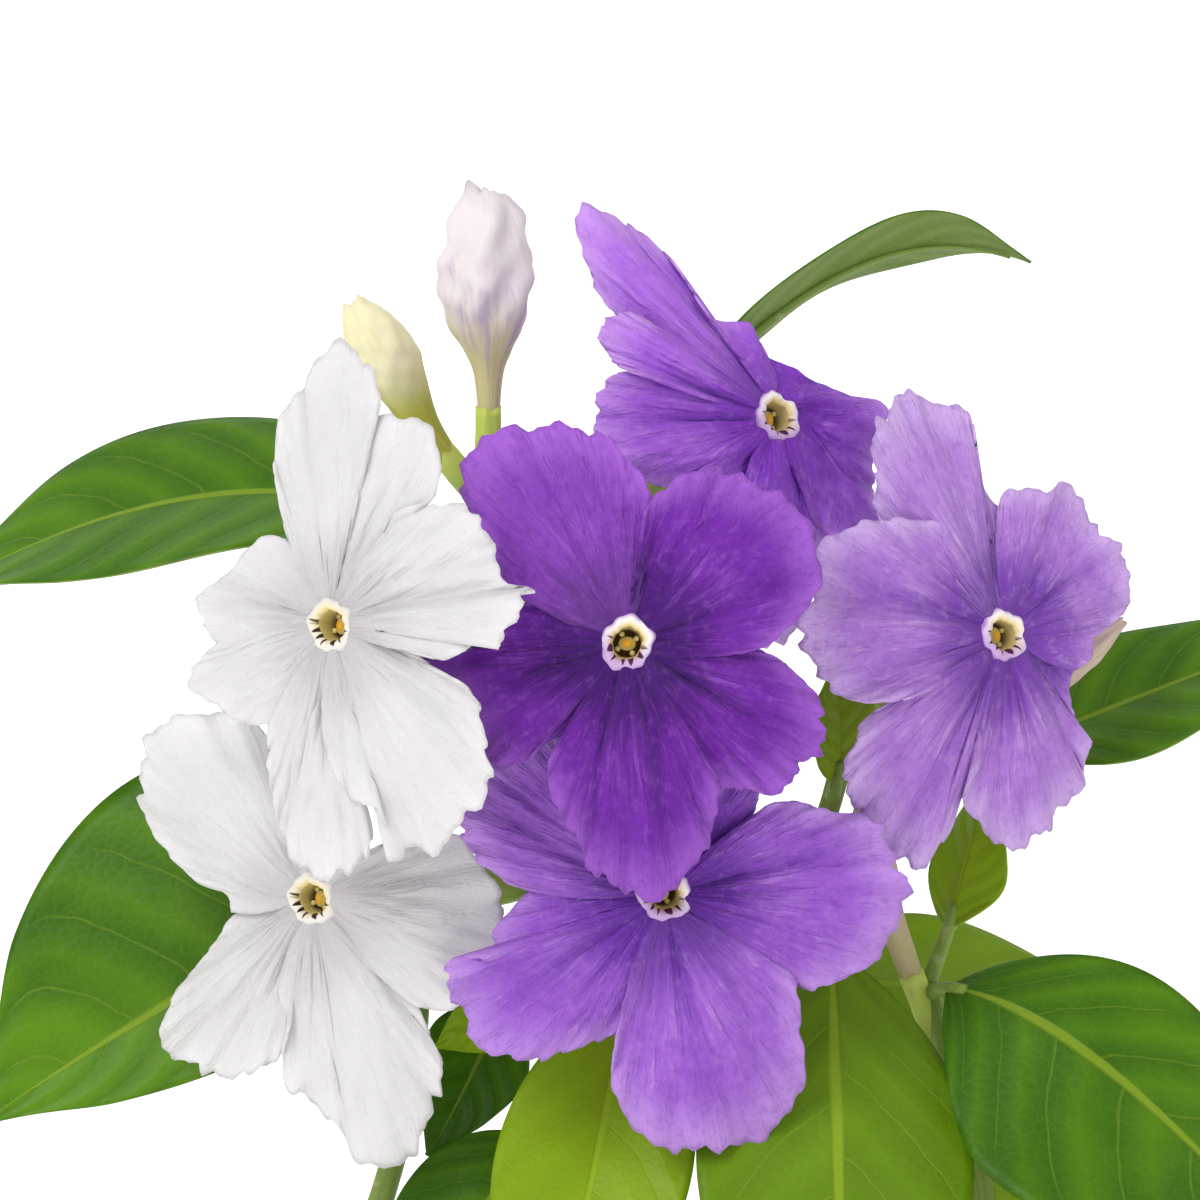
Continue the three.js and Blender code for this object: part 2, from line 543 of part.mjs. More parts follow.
// Stems, as seen, from the soil up, with the radius at each end.
const soilDrop = -187;
const stems = {
  centre: { foot: 2.6, top: 1.5, route: [[-8, soilDrop, 8], [-9, -140, 9], [-6, -90, 12], [-5, -45, 14],
    [-5, -8, 10], [-2, 4, 12], [4, 16, 15]], colour: 0x5f6b35 },
  right: { foot: 2.6, top: 1.3, route: [[22, soilDrop, 4], [36, -140, 5], [46, -95, 6], [48, -76, 7],
    [45.5, -64, 8], [41, -48, 10]], colour: 0x6b6a45 },
  right_branch: { foot: 2.1, top: 1.3, route: [[6, soilDrop, 14], [10, -120, 15], [14, -80, 13],
    [22, -48, 10], [28.5, -26.5, 9.5], [31.5, -18, 12], [36, -18, 19]], colour: 0x5f7a2a },
  left: { foot: 2.4, top: 1.4, route: [[-26, soilDrop, 12], [-36, -150, 16], [-34, -100, 22],
    [-24, -62, 23], [-22, -38, 22]], colour: 0x5f6b35 },
  back: { foot: 2.6, top: 1.4, route: [[0, soilDrop, 30], [-2, -140, 34], [0, -90, 32], [3, -50, 28],
    [3, -30, 26], [7, -14, 27]], colour: 0x5f6b35 },
};

// The leaves that fill the shrub below the flowers and behind them. They leave each stem at even
// steps between two shares of its length, and angles gives the way each one points, in degrees
// from +X towards +Y. Their sizes vary a little from leaf to leaf.
const fillers = [
  { stem: 'centre', from: 0.12, to: 0.34, reach: 62, halfWidth: 16, angles: [-100, 115, 200] },
  { stem: 'right', from: 0.15, to: 0.56, reach: 62, halfWidth: 16, angles: [-35, 80, 215, 355, 130] },
  { stem: 'right_branch', from: 0.1, to: 0.42, reach: 58, halfWidth: 15, angles: [20, 50, 295] },
  { stem: 'left', from: 0.12, to: 0.6, reach: 60, halfWidth: 16, angles: [275, 80, 140, 305, 55, 170] },
  { stem: 'back', from: 0.14, to: 0.5, reach: 60, halfWidth: 16, angles: [140, 70, 55, 170, 45] },
  { stem: 'back', from: 0.58, to: 0.85, reach: 46, halfWidth: 13, angles: [190, 80] },
];

// A share between 0 and 1 that differs from one whole number to the next.
function spreadShare(n, stride) {
  return (n * stride) % 1;
}

function fillerLeaf({ reach, halfWidth }, joint, angle, n) {
  const turn = THREE.MathUtils.degToRad(angle);
  const outward = new THREE.Vector3(Math.cos(turn), Math.sin(turn), 0);
  const length = reach * (0.75 + 0.35 * spreadShare(n, 0.618));
  const width = halfWidth * (0.9 + 0.25 * spreadShare(n, 0.755));
  const rise = length * (0.18 + 0.12 * spreadShare(n, 0.57));
  const base = joint.clone().addScaledVector(outward, 8).add(new THREE.Vector3(0, 0, 3));
  const via = joint.clone().addScaledVector(outward, length * 0.55).add(new THREE.Vector3(0, 0, rise));
  const tip = joint.clone().addScaledVector(outward, length).add(new THREE.Vector3(0, 0, -length * 0.2));
  const half = new THREE.Vector3(-outward.y, outward.x, 0).multiplyScalar(width);
  return { joint, base, via, tip, half, fold: 0.22, rows: fillerRows };
}

// Pot and soil

// The pot's outer radius and its cavity's radius at a height. The cavity opens out in the collar.
const collarFoot = potHeight - collarHeight;

function outerRadius(z) {
  const spread = potMouthRadius - collarStep - potFootRadius;
  return potFootRadius + (spread * Math.min(z, collarFoot)) / collarFoot;
}

function cavityRadius(z) {
  return outerRadius(z) - potWall + (cavityFlare * Math.max(0, z - collarFoot)) / collarHeight;
}

function potSolid() {
  const shell = turned([
    [0, 0], [potFootRadius, 0], [outerRadius(collarFoot), collarFoot],
    [potMouthRadius - 1.5, collarFoot + 1], [potMouthRadius, potHeight - 2],
    [potMouthRadius - 2, potHeight], [cavityRadius(potHeight) + 1, potHeight],
    [cavityRadius(collarFoot), collarFoot], [cavityRadius(potFloor), potFloor], [0, potFloor],
  ], potSegments);
  const angles = Array.from({ length: drainCount }, (_, n) => (2 * Math.PI * (n + 0.25)) / drainCount);
  const holes = angles.map((angle) => {
    const x = drainCircle * Math.cos(angle);
    const y = drainCircle * Math.sin(angle);
    return rod([new THREE.Vector3(x, y, -1), new THREE.Vector3(x, y, potFloor + 1)],
      () => drainRadius, { sides: drainSides, steps: 1 });
  });
  return holes.reduce((solid, hole) => solid.subtract(hole), shell);
}

function soilSolid(holes) {
  const edge = (z) => outerRadius(z) - potWall - seatGap;
  const plug = turned([
    [0, potFloor + seatGap], [edge(potFloor), potFloor + seatGap], [edge(collarFoot), collarFoot],
    [edge(collarFoot), soilLevel - 1], [edge(collarFoot) * 0.62, soilLevel + soilMound * 0.6],
    [0, soilLevel + soilMound],
  ], potSegments);
  return holes.reduce((solid, hole) => solid.subtract(hole), plug);
}

// Build

const pieces = Object.fromEntries(Object.keys(stems).map((key) => [key, []]));
const clearings = Object.fromEntries(Object.keys(stems).map((key) => [key, []]));
const stemHoles = [];

Object.entries(stems).forEach(([key, stem]) => {
  stem.places = stem.route.map(seen);
  stem.curve = new THREE.CatmullRomCurve3(stem.places, false, 'centripetal');
  const stemRadius = (t) => stem.foot + (stem.top - stem.foot) * t;
  pieces[key].push(rod(stem.places, stemRadius, { steps: stemSteps }));
  stemHoles.push(rod(stem.places.slice(0, 3), () => stem.foot + 2 * seatGap, { steps: 3 }));
});

// The place on a stem's midline nearest to a joint, as seen.
function onStem(key, joint) {
  const wanted = seen(joint);
  const samples = stems[key].curve.getSpacedPoints(jointSamples);
  return samples.reduce((best, point) => (
    point.distanceTo(wanted) < best.distanceTo(wanted) ? point : best));
}

addPart('pot', potSolid(), 0xb5673f, 0.85);
addPart('soil', soilSolid(stemHoles), 0x3d2b1f, 0.95);

flowers.forEach((flower, n) => {
  const solids = flowerSolids({ ...flower, joint: onStem(flower.stem, flower.joint) }, 0.9 * n);
  pieces[flower.stem].push(calyxSolid(solids));
  clearings[flower.stem].push(solids.grown);
  addPart(flower.name, solids.corolla, flower.colour, 0.75);
  addPart(flower.name.replace('bloom', 'pistil'), pistilSolid(solids.frame), 0xd9a62b, 0.6);
});

buds.forEach((bud) => {
  const solids = budSolids({ ...bud, joint: onStem(bud.stem, bud.joint) });
  pieces[bud.stem].push(calyxSolid(solids));
  clearings[bud.stem].push(solids.grown);
  addPart(bud.name, solids.bud, bud.colour, 0.7);
});

seenLeaves.forEach((leaf) => {
  const side = seen(leaf.half).sub(seen([0, 0, 0]));
  const shape = { ...leaf, base: seen(leaf.base), via: seen(leaf.via), tip: seen(leaf.tip), half: side };
  const tipward = shape.via.clone().sub(shape.base).normalize();
  const petiole = petioleSolid(onStem(leaf.stem, leaf.joint), shape.base, tipward);
  pieces[leaf.stem].push(leafSolid(shape), petiole);
});

fillers.forEach((fill) => {
  fill.angles.forEach((angle, n) => {
    const share = fill.from + ((fill.to - fill.from) * n) / (fill.angles.length - 1);
    const joint = stems[fill.stem].curve.getPointAt(share);
    const leaf = fillerLeaf(fill, joint, angle, n);
    const tipward = leaf.via.clone().sub(leaf.base).normalize();
    pieces[fill.stem].push(leafSolid(leaf), petioleSolid(joint, leaf.base, tipward));
  });
});

Object.entries(stems).forEach(([key, stem]) => {
  const leafy = join(pieces[key]);
  const whole = clearings[key].reduce((solid, clearing) => solid.subtract(clearing), leafy);
  addPart(`leafy_stem_${key}`, whole, stem.colour, 0.55);
});

export default plant;
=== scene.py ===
# %% [markdown]
# # A potted yesterday-today-and-tomorrow plant
#
# The real thing is a small flowering shrub. Its blooms open deep violet, fade to lavender and end
# white, so all three colours are on it together. Every bloom is one soft corolla: five broad lobes
# round a white eye, on a slender tube. The leaves are broad, pointed and smooth.
#
# Almost everything here is a thin curved sheet or a round stalk. Sculpting them would be slow and
# hard to repeat, so each is a surface worked out with numpy from two parameters, and a few named
# numbers say how one bloom or leaf differs from the next.

import bpy
import numpy as np
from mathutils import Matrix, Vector


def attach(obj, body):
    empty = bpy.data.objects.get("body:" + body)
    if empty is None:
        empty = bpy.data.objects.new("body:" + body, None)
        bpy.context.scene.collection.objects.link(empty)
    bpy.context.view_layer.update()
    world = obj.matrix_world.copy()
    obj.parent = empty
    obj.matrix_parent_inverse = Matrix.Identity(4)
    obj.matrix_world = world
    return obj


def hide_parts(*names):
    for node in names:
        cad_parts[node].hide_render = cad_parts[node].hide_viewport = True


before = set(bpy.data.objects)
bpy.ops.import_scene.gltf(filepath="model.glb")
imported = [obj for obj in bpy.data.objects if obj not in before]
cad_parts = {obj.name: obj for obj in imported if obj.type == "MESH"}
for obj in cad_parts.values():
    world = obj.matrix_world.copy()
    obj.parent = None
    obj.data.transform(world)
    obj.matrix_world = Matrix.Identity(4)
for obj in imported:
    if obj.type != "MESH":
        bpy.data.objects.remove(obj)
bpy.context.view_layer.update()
print("solids in the frame:", len(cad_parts))

# %% [markdown]
# ## Places as they look from the front
#
# The shrub is arranged to be seen from the front, so its places are given as they look: x to the
# right, h up, and depth away from the viewer, who looks down a little. Lengths are in millimetres
# until a mesh is made. A place that is further away is spread out, to stay where it looks.

# %% The viewer's frame
VIEW_CENTRE = np.array([0.0, 0.0, 300.0])
EYE_DISTANCE = 700.0
EYE_TILT = np.radians(5)
ACROSS = np.array([1.0, 0.0, 0.0])
UPWARD = np.array([0.0, np.sin(EYE_TILT), np.cos(EYE_TILT)])
AWAY = np.array([0.0, np.cos(EYE_TILT), -np.sin(EYE_TILT)])


def seen(place):
    """The view's centre, plus x across and h up, both spread by 1 + depth / eye distance, plus
    depth away."""
    x, h, depth = np.moveaxis(np.asarray(place, float), -1, 0)[..., None]
    spread = 1 + depth / EYE_DISTANCE
    return VIEW_CENTRE + ACROSS * x * spread + UPWARD * h * spread + AWAY * depth


def facing(turn, rise):
    """The direction towards the viewer, turned right and raised by two angles in degrees."""
    t, r = np.radians([turn, rise])
    return -AWAY * np.cos(t) * np.cos(r) + ACROSS * np.sin(t) * np.cos(r) + UPWARD * np.sin(r)


def unit(vectors):
    """Each vector divided by its length."""
    return vectors / np.maximum(np.linalg.norm(vectors, axis=-1, keepdims=True), 1e-9)


def mix(a, b, share):
    """a times 1 - share, plus b times share."""
    return a * (1 - share) + b * share


def ease(t):
    """3t² - 2t³ of t held between 0 and 1: a step with soft ends."""
    c = np.clip(t, 0, 1)
    return c * c * (3 - 2 * c)


print("the view's centre:", seen([0, 0, 0]))

# %% A smooth curve through a few places
SPLITS = 24


def smooth_route(places, count):
    """Centripetal Catmull-Rom: a cubic between each two places whose slopes come from their
    neighbours, weighted by the root of the distances, read at count even steps of its length."""
    p = np.asarray(places, float)
    ends = np.vstack([2 * p[0] - p[1], p, 2 * p[-1] - p[-2]])
    a, b, c, d = ends[:-3], ends[1:-2], ends[2:-1], ends[3:]
    before, step, after = (np.maximum(np.linalg.norm(q - r, axis=1), 1e-6)[:, None] ** 0.5
                           for q, r in ((b, a), (c, b), (d, c)))
    start = ((b - a) / before - (c - a) / (before + step) + (c - b) / step) * step
    end = ((c - b) / step - (d - b) / (step + after) + (d - c) / after) * step
    t = np.linspace(0, 1, SPLITS, endpoint=False)[None, :, None]
    b, c, start, end = (value[:, None] for value in (b, c, start, end))
    dense = b + start * t + (3 * (c - b) - 2 * start - end) * t**2 + (2 * (b - c) + start + end) * t**3
    dense = np.vstack([dense.reshape(-1, p.shape[1]), p[-1:]])
    length = np.concatenate([[0], np.cumsum(np.linalg.norm(np.diff(dense, axis=0), axis=1))])
    wanted = np.linspace(0, length[-1], count)
    return np.stack([np.interp(wanted, length, axis) for axis in dense.T], axis=-1)


print("a route of", len(smooth_route([[0, 0, 0], [10, 0, 4], [20, 5, 0]], 9)), "places")

# %% [markdown]
# ## Sheets, tubes and how they become a piece
#
# A petal or leaf is a sheet with a thickness: a grid of places moved half the thickness to both
# sides along its normals, and closed round its rim. A stalk is a ring carried along a path. A
# Solidify modifier could thicken a sheet too, but working both skins out at once lets the upper and
# the lower skin have finishes of their own, as a leaf has.

# %% Quads of a grid
def grid_quads(rows, columns, wrap=False):
    """Corners of each cell of a grid, row step first; wrap joins the last column to the first."""
    cells = columns if wrap else columns - 1
    i, j = np.meshgrid(np.arange(rows - 1), np.arange(cells), indexing="ij")
    k = (j + 1) % columns
    quads = np.stack([i * columns + j, (i + 1) * columns + j, (i + 1) * columns + k, i * columns + k], -1)
    return quads.reshape(-1, 4)


def grid_normals(grid):
    """The cross product of the steps along the rows and along the columns, made a unit."""
    return unit(np.cross(np.gradient(grid, axis=0), np.gradient(grid, axis=1)))


print("a grid of 3 by 3 places has", len(grid_quads(3, 3)), "quads")

# %% A closed sheet
def sheet(grid, thickness, uv, finishes=(0, 0), **marks):
    """Upper skin = grid + normal · thickness / 2, lower skin = grid - normal · thickness / 2, joined
    round the rim. finishes numbers the upper and the lower skin's materials."""
    rows, columns = grid.shape[:2]
    shift = grid_normals(grid) * np.broadcast_to(thickness, (rows, columns))[..., None] / 2
    points = np.concatenate([(grid + shift).reshape(-1, 3), (grid - shift).reshape(-1, 3)])
    under = rows * columns
    upper = grid_quads(rows, columns)
    i, j = np.arange(rows - 1), np.arange(columns - 1)
    rim = np.concatenate([i * columns, (rows - 1) * columns + j, (rows - 1 - i) * columns + columns - 1,
                          columns - 1 - j])
    after = np.roll(rim, -1)
    edge = np.stack([after, rim, under + rim, under + after], -1)
    quads = np.concatenate([upper, under + upper[:, ::-1], edge])
    material = np.repeat([finishes[0], finishes[1], finishes[0]], [len(upper), len(upper), len(edge)])
    both = {name: np.tile(np.broadcast_to(value, (rows, columns)).ravel(), 2)
            for name, value in marks.items()}
    return {"points": points, "quads": quads, "tris": np.zeros((0, 3), int), "material": material,
            "uv": np.tile(uv.reshape(-1, 2), (2, 1)), "marks": both}


# %% Rings closed at both ends
def per_place(value, count, sides):
    """One number, one for each place or one for each place and angle, spread over the whole grid."""
    value = np.asarray(value, float)
    return np.broadcast_to(value[:, None] if value.ndim == 1 else value, (count, sides))


def closed_rings(rings, poles, reached, finish, marks):
    """Joins each ring to the next and the first and last ring to a pole. reached holds the second
    UV number of the first pole, of each ring and of the last pole."""
    rows, sides = rings.shape[:2]
    j = np.arange(sides)
    k = (j + 1) % sides
    last = (rows - 1) * sides
    tris = np.concatenate([np.stack([np.full(sides, rows * sides), k, j], -1),
                           np.stack([np.full(sides, rows * sides + 1), last + j, last + k], -1)])
    quads = grid_quads(rows, sides, wrap=True)[:, ::-1]
    uv = np.stack(np.broadcast_arrays(j / sides, reached[1:-1, None]), -1).reshape(-1, 2)
    spread = {name: per_place(value, rows, sides) for name, value in marks.items()}
    return {"points": np.concatenate([rings.reshape(-1, 3), poles]), "quads": quads, "tris": tris,
            "material": np.full(len(quads) + len(tris), finish),
            "uv": np.concatenate([uv, [[0.5, reached[0]], [0.5, reached[-1]]]]),
            "marks": {name: np.concatenate([value.ravel(), value[[0, -1], 0]])
                      for name, value in spread.items()}}


# %% A tube and a turned shape
def path_frames(path):
    """The path's direction, and two directions across it: a fixed one made square to it, and
    their cross product."""
    along = unit(np.gradient(path, axis=0))
    spread = np.abs(unit(path[-1] - path[0]))
    fixed = np.eye(3)[np.argmin(spread)]
    first = unit(fixed - along * (along @ fixed)[:, None])
    return along, first, np.cross(along, first)


def tube(path, radius, sides=14, finish=0, rim=None, **marks):
    """Ring of cos and sin of the angle times the radius, carried along the path and closed at both
    ends. radius holds one number for each place, or one for each place and angle; rim moves the
    last ring along the path by an amount for each angle."""
    path = np.asarray(path, float)
    count = len(path)
    angle = np.linspace(0, 2 * np.pi, sides, endpoint=False)
    along, first, second = path_frames(path)
    reach = per_place(radius, count, sides)[..., None]
    ring = first[:, None] * np.cos(angle)[:, None] + second[:, None] * np.sin(angle)[:, None]
    rings = path[:, None] + ring * reach
    if rim is not None:
        rings[-1] += along[-1] * rim[:, None]
    reached = np.concatenate([[0], np.linspace(0, 1, count), [1]])
    return closed_rings(rings, path[[0, -1]], reached, finish, marks)


def turned(profile, centre, normal, sides, finish=0, inward=None):
    """Radius and height of the profile, turned about the normal: centre + radius · (cos, sin) across
    it + height along it. The profile runs up the outside and down the inside."""
    across = unit(np.cross(normal, np.eye(3)[np.argmin(np.abs(normal))]))
    second = np.cross(normal, across)
    angle = np.linspace(0, 2 * np.pi, sides, endpoint=False)[None, :, None]
    radius, height = profile[1:-1, 0, None, None], profile[1:-1, 1, None, None]
    rings = centre + radius * (across * np.cos(angle) + second * np.sin(angle)) + height * normal
    poles = centre + profile[[0, -1], 1, None] * normal
    inward = np.linspace(0, 1, len(profile)) if inward is None else inward
    return closed_rings(rings, poles, inward, finish, {})


# %% Join shapes into one piece of the plant
MARKS = ("shade", "reach")
MM = 0.001


def mesh_object(name, shapes, finishes=()):
    """Joins shapes into one mesh, in metres, with their UV maps and marks."""
    offsets = np.cumsum([0] + [len(shape["points"]) for shape in shapes])
    quads = np.concatenate([shape["quads"] + offset for shape, offset in zip(shapes, offsets)])
    tris = np.concatenate([shape["tris"] + offset for shape, offset in zip(shapes, offsets)])
    material = np.concatenate([shape["material"][:len(shape["quads"])] for shape in shapes]
                              + [shape["material"][len(shape["quads"]):] for shape in shapes])
    points = np.concatenate([shape["points"] for shape in shapes]) * MM
    uv = np.concatenate([shape["uv"] for shape in shapes])
    corners = np.concatenate([quads.ravel(), tris.ravel()]).astype(np.int32)
    starts = np.concatenate([np.arange(len(quads)) * 4, len(quads) * 4 + np.arange(len(tris)) * 3])
    mesh = bpy.data.meshes.new(name)
    mesh.vertices.add(len(points))
    mesh.vertices.foreach_set("co", points.astype(np.float32).ravel())
    mesh.loops.add(len(corners))
    mesh.loops.foreach_set("vertex_index", corners)
    mesh.polygons.add(len(starts))
    mesh.polygons.foreach_set("loop_start", starts.astype(np.int32))
    mesh.update(calc_edges=True)
    mesh.polygons.foreach_set("material_index", material.astype(np.int32))
    mesh.polygons.foreach_set("use_smooth", np.ones(len(starts), bool))
    mesh.uv_layers.new(name="grown").data.foreach_set("uv", uv[corners].astype(np.float32).ravel())
    for mark in MARKS:
        values = np.concatenate([shape["marks"].get(mark, np.zeros(len(shape["points"])))
                                 for shape in shapes])
        stored = mesh.attributes.new(mark, "FLOAT", "POINT")
        stored.data.foreach_set("value", values.astype(np.float32))
    for finish in finishes:
        mesh.materials.append(finish)
    mesh.validate()
    made = bpy.data.objects.new(name, mesh)
    bpy.context.scene.collection.objects.link(made)
    return made


def add_piece(name, shapes, finishes, replaced):
    """A mesh of shapes that rides on the plant's body and stands for nodes of the frame."""
    piece = mesh_object(name, shapes, finishes)
    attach(piece, "root")
    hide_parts(*replaced)
    print(name, "has", sum(len(face.vertices) - 2 for face in piece.data.polygons), "triangles")
    return piece


# %% [markdown]
# ## Finishes
#
# Petals, leaves and clay each need many shader nodes. A small helper keeps the node code as short
# as the sums it stands for: each call makes one node, links what it is given and returns its
# output. Colours are given as they look on a screen and turned into linear light.

# %% A helper that grows a material
def tone(red, green, blue):
    """Screen colour 0-255 to linear light: ((c + 0.055) / 1.055) to the power 2.4, or c / 12.92
    where dark."""
    c = np.array([red, green, blue]) / 255
    return tuple(np.where(c > 0.04045, ((c + 0.055) / 1.055) ** 2.4, c / 12.92)) + (1.0,)


class Finish:
    """A material whose nodes are added one call at a time."""

    def __init__(self, name):
        self.material = bpy.data.materials.new(name)
        self.material.use_nodes = True
        self.tree = self.material.node_tree
        self.tree.nodes.clear()

    def node(self, kind, inputs=(), out=0, **settings):
        """Adds a node, sets or links its inputs by name or number, and returns one of its outputs."""
        made = self.tree.nodes.new("ShaderNode" + kind)
        for name, value in settings.items():
            setattr(made, name, value)
        for key, value in dict(inputs).items():
            if isinstance(value, bpy.types.NodeSocket):
                self.tree.links.new(value, made.inputs[key])
            else:
                made.inputs[key].default_value = value
        return made.outputs[out]

    def math(self, operation, *values, clamp=False):
        """An operation on up to three numbers; clamp holds its result between 0 and 1."""
        return self.node("Math", dict(enumerate(values)), operation=operation, use_clamp=clamp)

    def plus(self, first, *others):
        """The sum of all its numbers, from left to right."""
        for other in others:
            first = self.math("ADD", first, other)
        return first

    def less(self, a, b):
        return self.math("SUBTRACT", a, b)

    def times(self, a, b):
        return self.math("MULTIPLY", a, b)

    def larger(self, a, b):
        return self.math("MAXIMUM", a, b)

    def held(self, value, share=1.0):
        """The value times the share, held between 0 and 1."""
        return self.math("MULTIPLY", value, share, clamp=True)

    def line(self, value, slope, start):
        """The value times the slope, plus the start."""
        return self.math("MULTIPLY_ADD", value, slope, start)

    def zigzag(self, value):
        """0 at every whole number, a half midway between them, and straight slopes."""
        return self.math("PINGPONG", value, 0.5)

    def step(self, value, low, high, low_out=0.0, high_out=1.0):
        """low_out below low, high_out above high, and a soft slope between them."""
        return self.node("MapRange", {0: value, 1: low, 2: high, 3: low_out, 4: high_out},
                         interpolation_type="SMOOTHSTEP")

    def blend(self, share, a, b):
        """Colour a where the share is 0 and b where it is 1."""
        return self.node("Mix", {0: share, 6: a, 7: b}, out=2, data_type="RGBA")

    def layers(self, colour, *washes):
        """The colour with each wash, a share and a colour, laid over all that came before it."""
        for share, over in washes:
            colour = self.blend(share, colour, over)
        return colour

    def noise(self, scale, vector, detail=3.0, roughness=0.55):
        """Cloudy noise from 0 to 1; a larger scale makes it finer."""
        return self.node("TexNoise", {"Vector": vector, "Scale": scale, "Detail": detail,
                                      "Roughness": roughness})

    def stretched(self, vector, x, y, z=1.0):
        """The vector with each of its numbers scaled; a pattern shrinks by as much."""
        return self.node("Mapping", {"Vector": vector, "Scale": (x, y, z)})

    def object_place(self):
        """The place on the piece, in metres."""
        return self.node("TexCoord", out=3)

    def mark(self, name):
        """A number that the mesh holds at each point."""
        return self.node("Attribute", out=2, attribute_name=name)

    def grown(self):
        """The piece's own UV map."""
        return self.node("UVMap", uv_map="grown")

    def parts(self, vector):
        """The vector's first two numbers."""
        split = self.node("SeparateXYZ", {0: vector}).node
        return split.outputs[0], split.outputs[1]

    def bump(self, height, strength, distance):
        """A normal that leans as if the height, times the distance in metres, stood out."""
        return self.node("Bump", {"Height": height, "Strength": strength, "Distance": distance})

    def skin(self, colour, roughness, gloss=0.5, normal=None, thin=None, through=0.0, **fixed):
        """The outer layer. thin is the colour of light that comes through, and through its share;
        fixed sets further inputs by name."""
        leaning = {} if normal is None else {"Normal": normal}
        surface = self.node("BsdfPrincipled", {"Base Color": colour, "Roughness": roughness,
                                               "Specular IOR Level": gloss, **leaning, **fixed})
        if thin is not None:
            glow = self.node("BsdfTranslucent", {"Color": thin, **leaning})
            surface = self.node("MixShader", {0: through, 1: surface, 2: glow})
        end = self.tree.nodes.new("ShaderNodeOutputMaterial")
        self.tree.links.new(surface, end.inputs["Surface"])
        return self.material


print("helper ready; white is", tone(255, 255, 255)[:3])

# %% [markdown]
# ### Petals
#
# A petal of this shrub is thin, soft and matt. Fine veins fan out from the throat, the colour is
# deepest beside the eye and pales towards the ruffled edge, and the creases are darkened with
# painted shade. The UV map runs across the lobe and from the root to the edge, so a noise that is
# squeezed across and stretched along it makes veins that fan out by themselves. Some light passes
# through, as through tissue.

# %% Petal finish
VEINS_ACROSS = 42.0
CREASES_ACROSS = 9.0
SILK_ACROSS = 22.0


def petal_finish(name, deep, middle, pale, vein_depth=0.5, streak=0.5, through=0.25, relief_share=0.8):
    """Deep by the throat, middle further out and pale at the edge, with deep veins, creases darkened
    with painted shade, and pale silky streaks. The mark reach is the distance from the throat in
    millimetres; the mark shade deepens the colour above 0 and pales it below, and along the folds it
    carries painted shade."""
    made = Finish(name)
    uv = made.grown()
    along = made.parts(uv)[1]
    shade, reach = made.mark("shade"), made.mark("reach")
    wander = made.node("VectorMath", {0: made.noise(4.0, uv, 2.0), 3: 0.05}, operation="SCALE")
    bent = made.node("VectorMath", {0: uv, 1: wander}, operation="ADD")
    veins = made.noise(1.0, made.stretched(bent, VEINS_ACROSS, 1.6), 3.0, 0.6)
    creases = made.noise(1.0, made.stretched(bent, CREASES_ACROSS, 0.9), 2.0)
    silk = made.noise(1.0, made.stretched(bent, SILK_ACROSS, 3.2), 4.0, 0.7)
    place = made.object_place()
    cloud = made.noise(90.0, place, 4.0)
    mottle = made.noise(620.0, place, 4.0, 0.7)
    grain = made.noise(1400.0, place, 2.0)
    depth = made.plus(made.step(reach, 4.0, 21.0), made.line(cloud, 0.5, -0.25))
    edge = made.times(made.step(along, 0.7, 1.02), made.step(depth, 0.3, 1.1))
    dark_vein = made.times(made.step(veins, 0.52, 0.3, 0.0, vein_depth), made.step(along, 1.25, 0.2))
    light_streak = made.times(made.step(silk, 0.5, 0.72, 0.0, streak), made.step(reach, 4.0, 9.0))
    # painted shade: the creases are darkened towards the deep colour
    crease_painted_shade = made.times(made.step(creases, 0.56, 0.34, 0.0, vein_depth), made.step(along, 0.9, 0.1))
    colour = made.layers(
        made.blend(made.step(depth, 0.0, 0.62), deep, middle),
        (edge, pale), (dark_vein, deep), (light_streak, pale), (crease_painted_shade, deep),
        (made.held(shade), deep), (made.held(shade, -1.0), pale),
        (made.step(mottle, 0.52, 0.68, 0.0, 0.2), pale),
        (made.step(mottle, 0.48, 0.34, 0.0, 0.45 * vein_depth), deep))
    relief = made.plus(made.times(veins, 0.5), made.line(grain, 0.1, creases), made.times(mottle, 0.35),
                       made.times(silk, 0.8))
    normal = made.bump(relief, relief_share, 0.0013)
    return made.skin(colour, 0.62, 0.3, normal, colour, through, **{"Sheen Weight": 0.08})


# deep, middle and pale of each petal, and what sets its look apart
PETALS = {
    "petal_deep_violet": ((80, 10, 132), (130, 40, 184), (182, 108, 226), {}),
    "petal_violet": ((116, 48, 180), (166, 98, 216), (204, 156, 236), {}),
    # petal_violet made lighter for the top bloom: painted light
    "petal_violet_painted_lit": ((144, 62, 206), (184, 110, 232), (216, 164, 245), {}),
    "petal_lavender": ((134, 72, 190), (188, 134, 224), (222, 188, 243), {}),
    # the white's deep is a grey: painted shade by the throat and in the creases and folds
    "petal_white": ((219, 216, 217), (232, 230, 231), (241, 239, 240),
                    {"vein_depth": 0.2, "streak": 0.4, "through": 0.32, "relief_share": 0.5}),
}
petals = {name: petal_finish(name, tone(*deep), tone(*middle), tone(*pale), **look)
          for name, (deep, middle, pale, look) in PETALS.items()}
print("petal finishes:", ", ".join(petals))

# %% [markdown]
# ### The eye, the pistil and the furled buds
#
# The eye is a raised white ring that turns cream inside, with short brown dashes round its mouth.
# The ring is a turned shape, so its UV map gives the angle and how far in a point lies: 1 outside,
# 0.44 at the mouth of the well and 0 on its floor.

# %% Eye, pistil and bud finishes
DASHES = 12.0


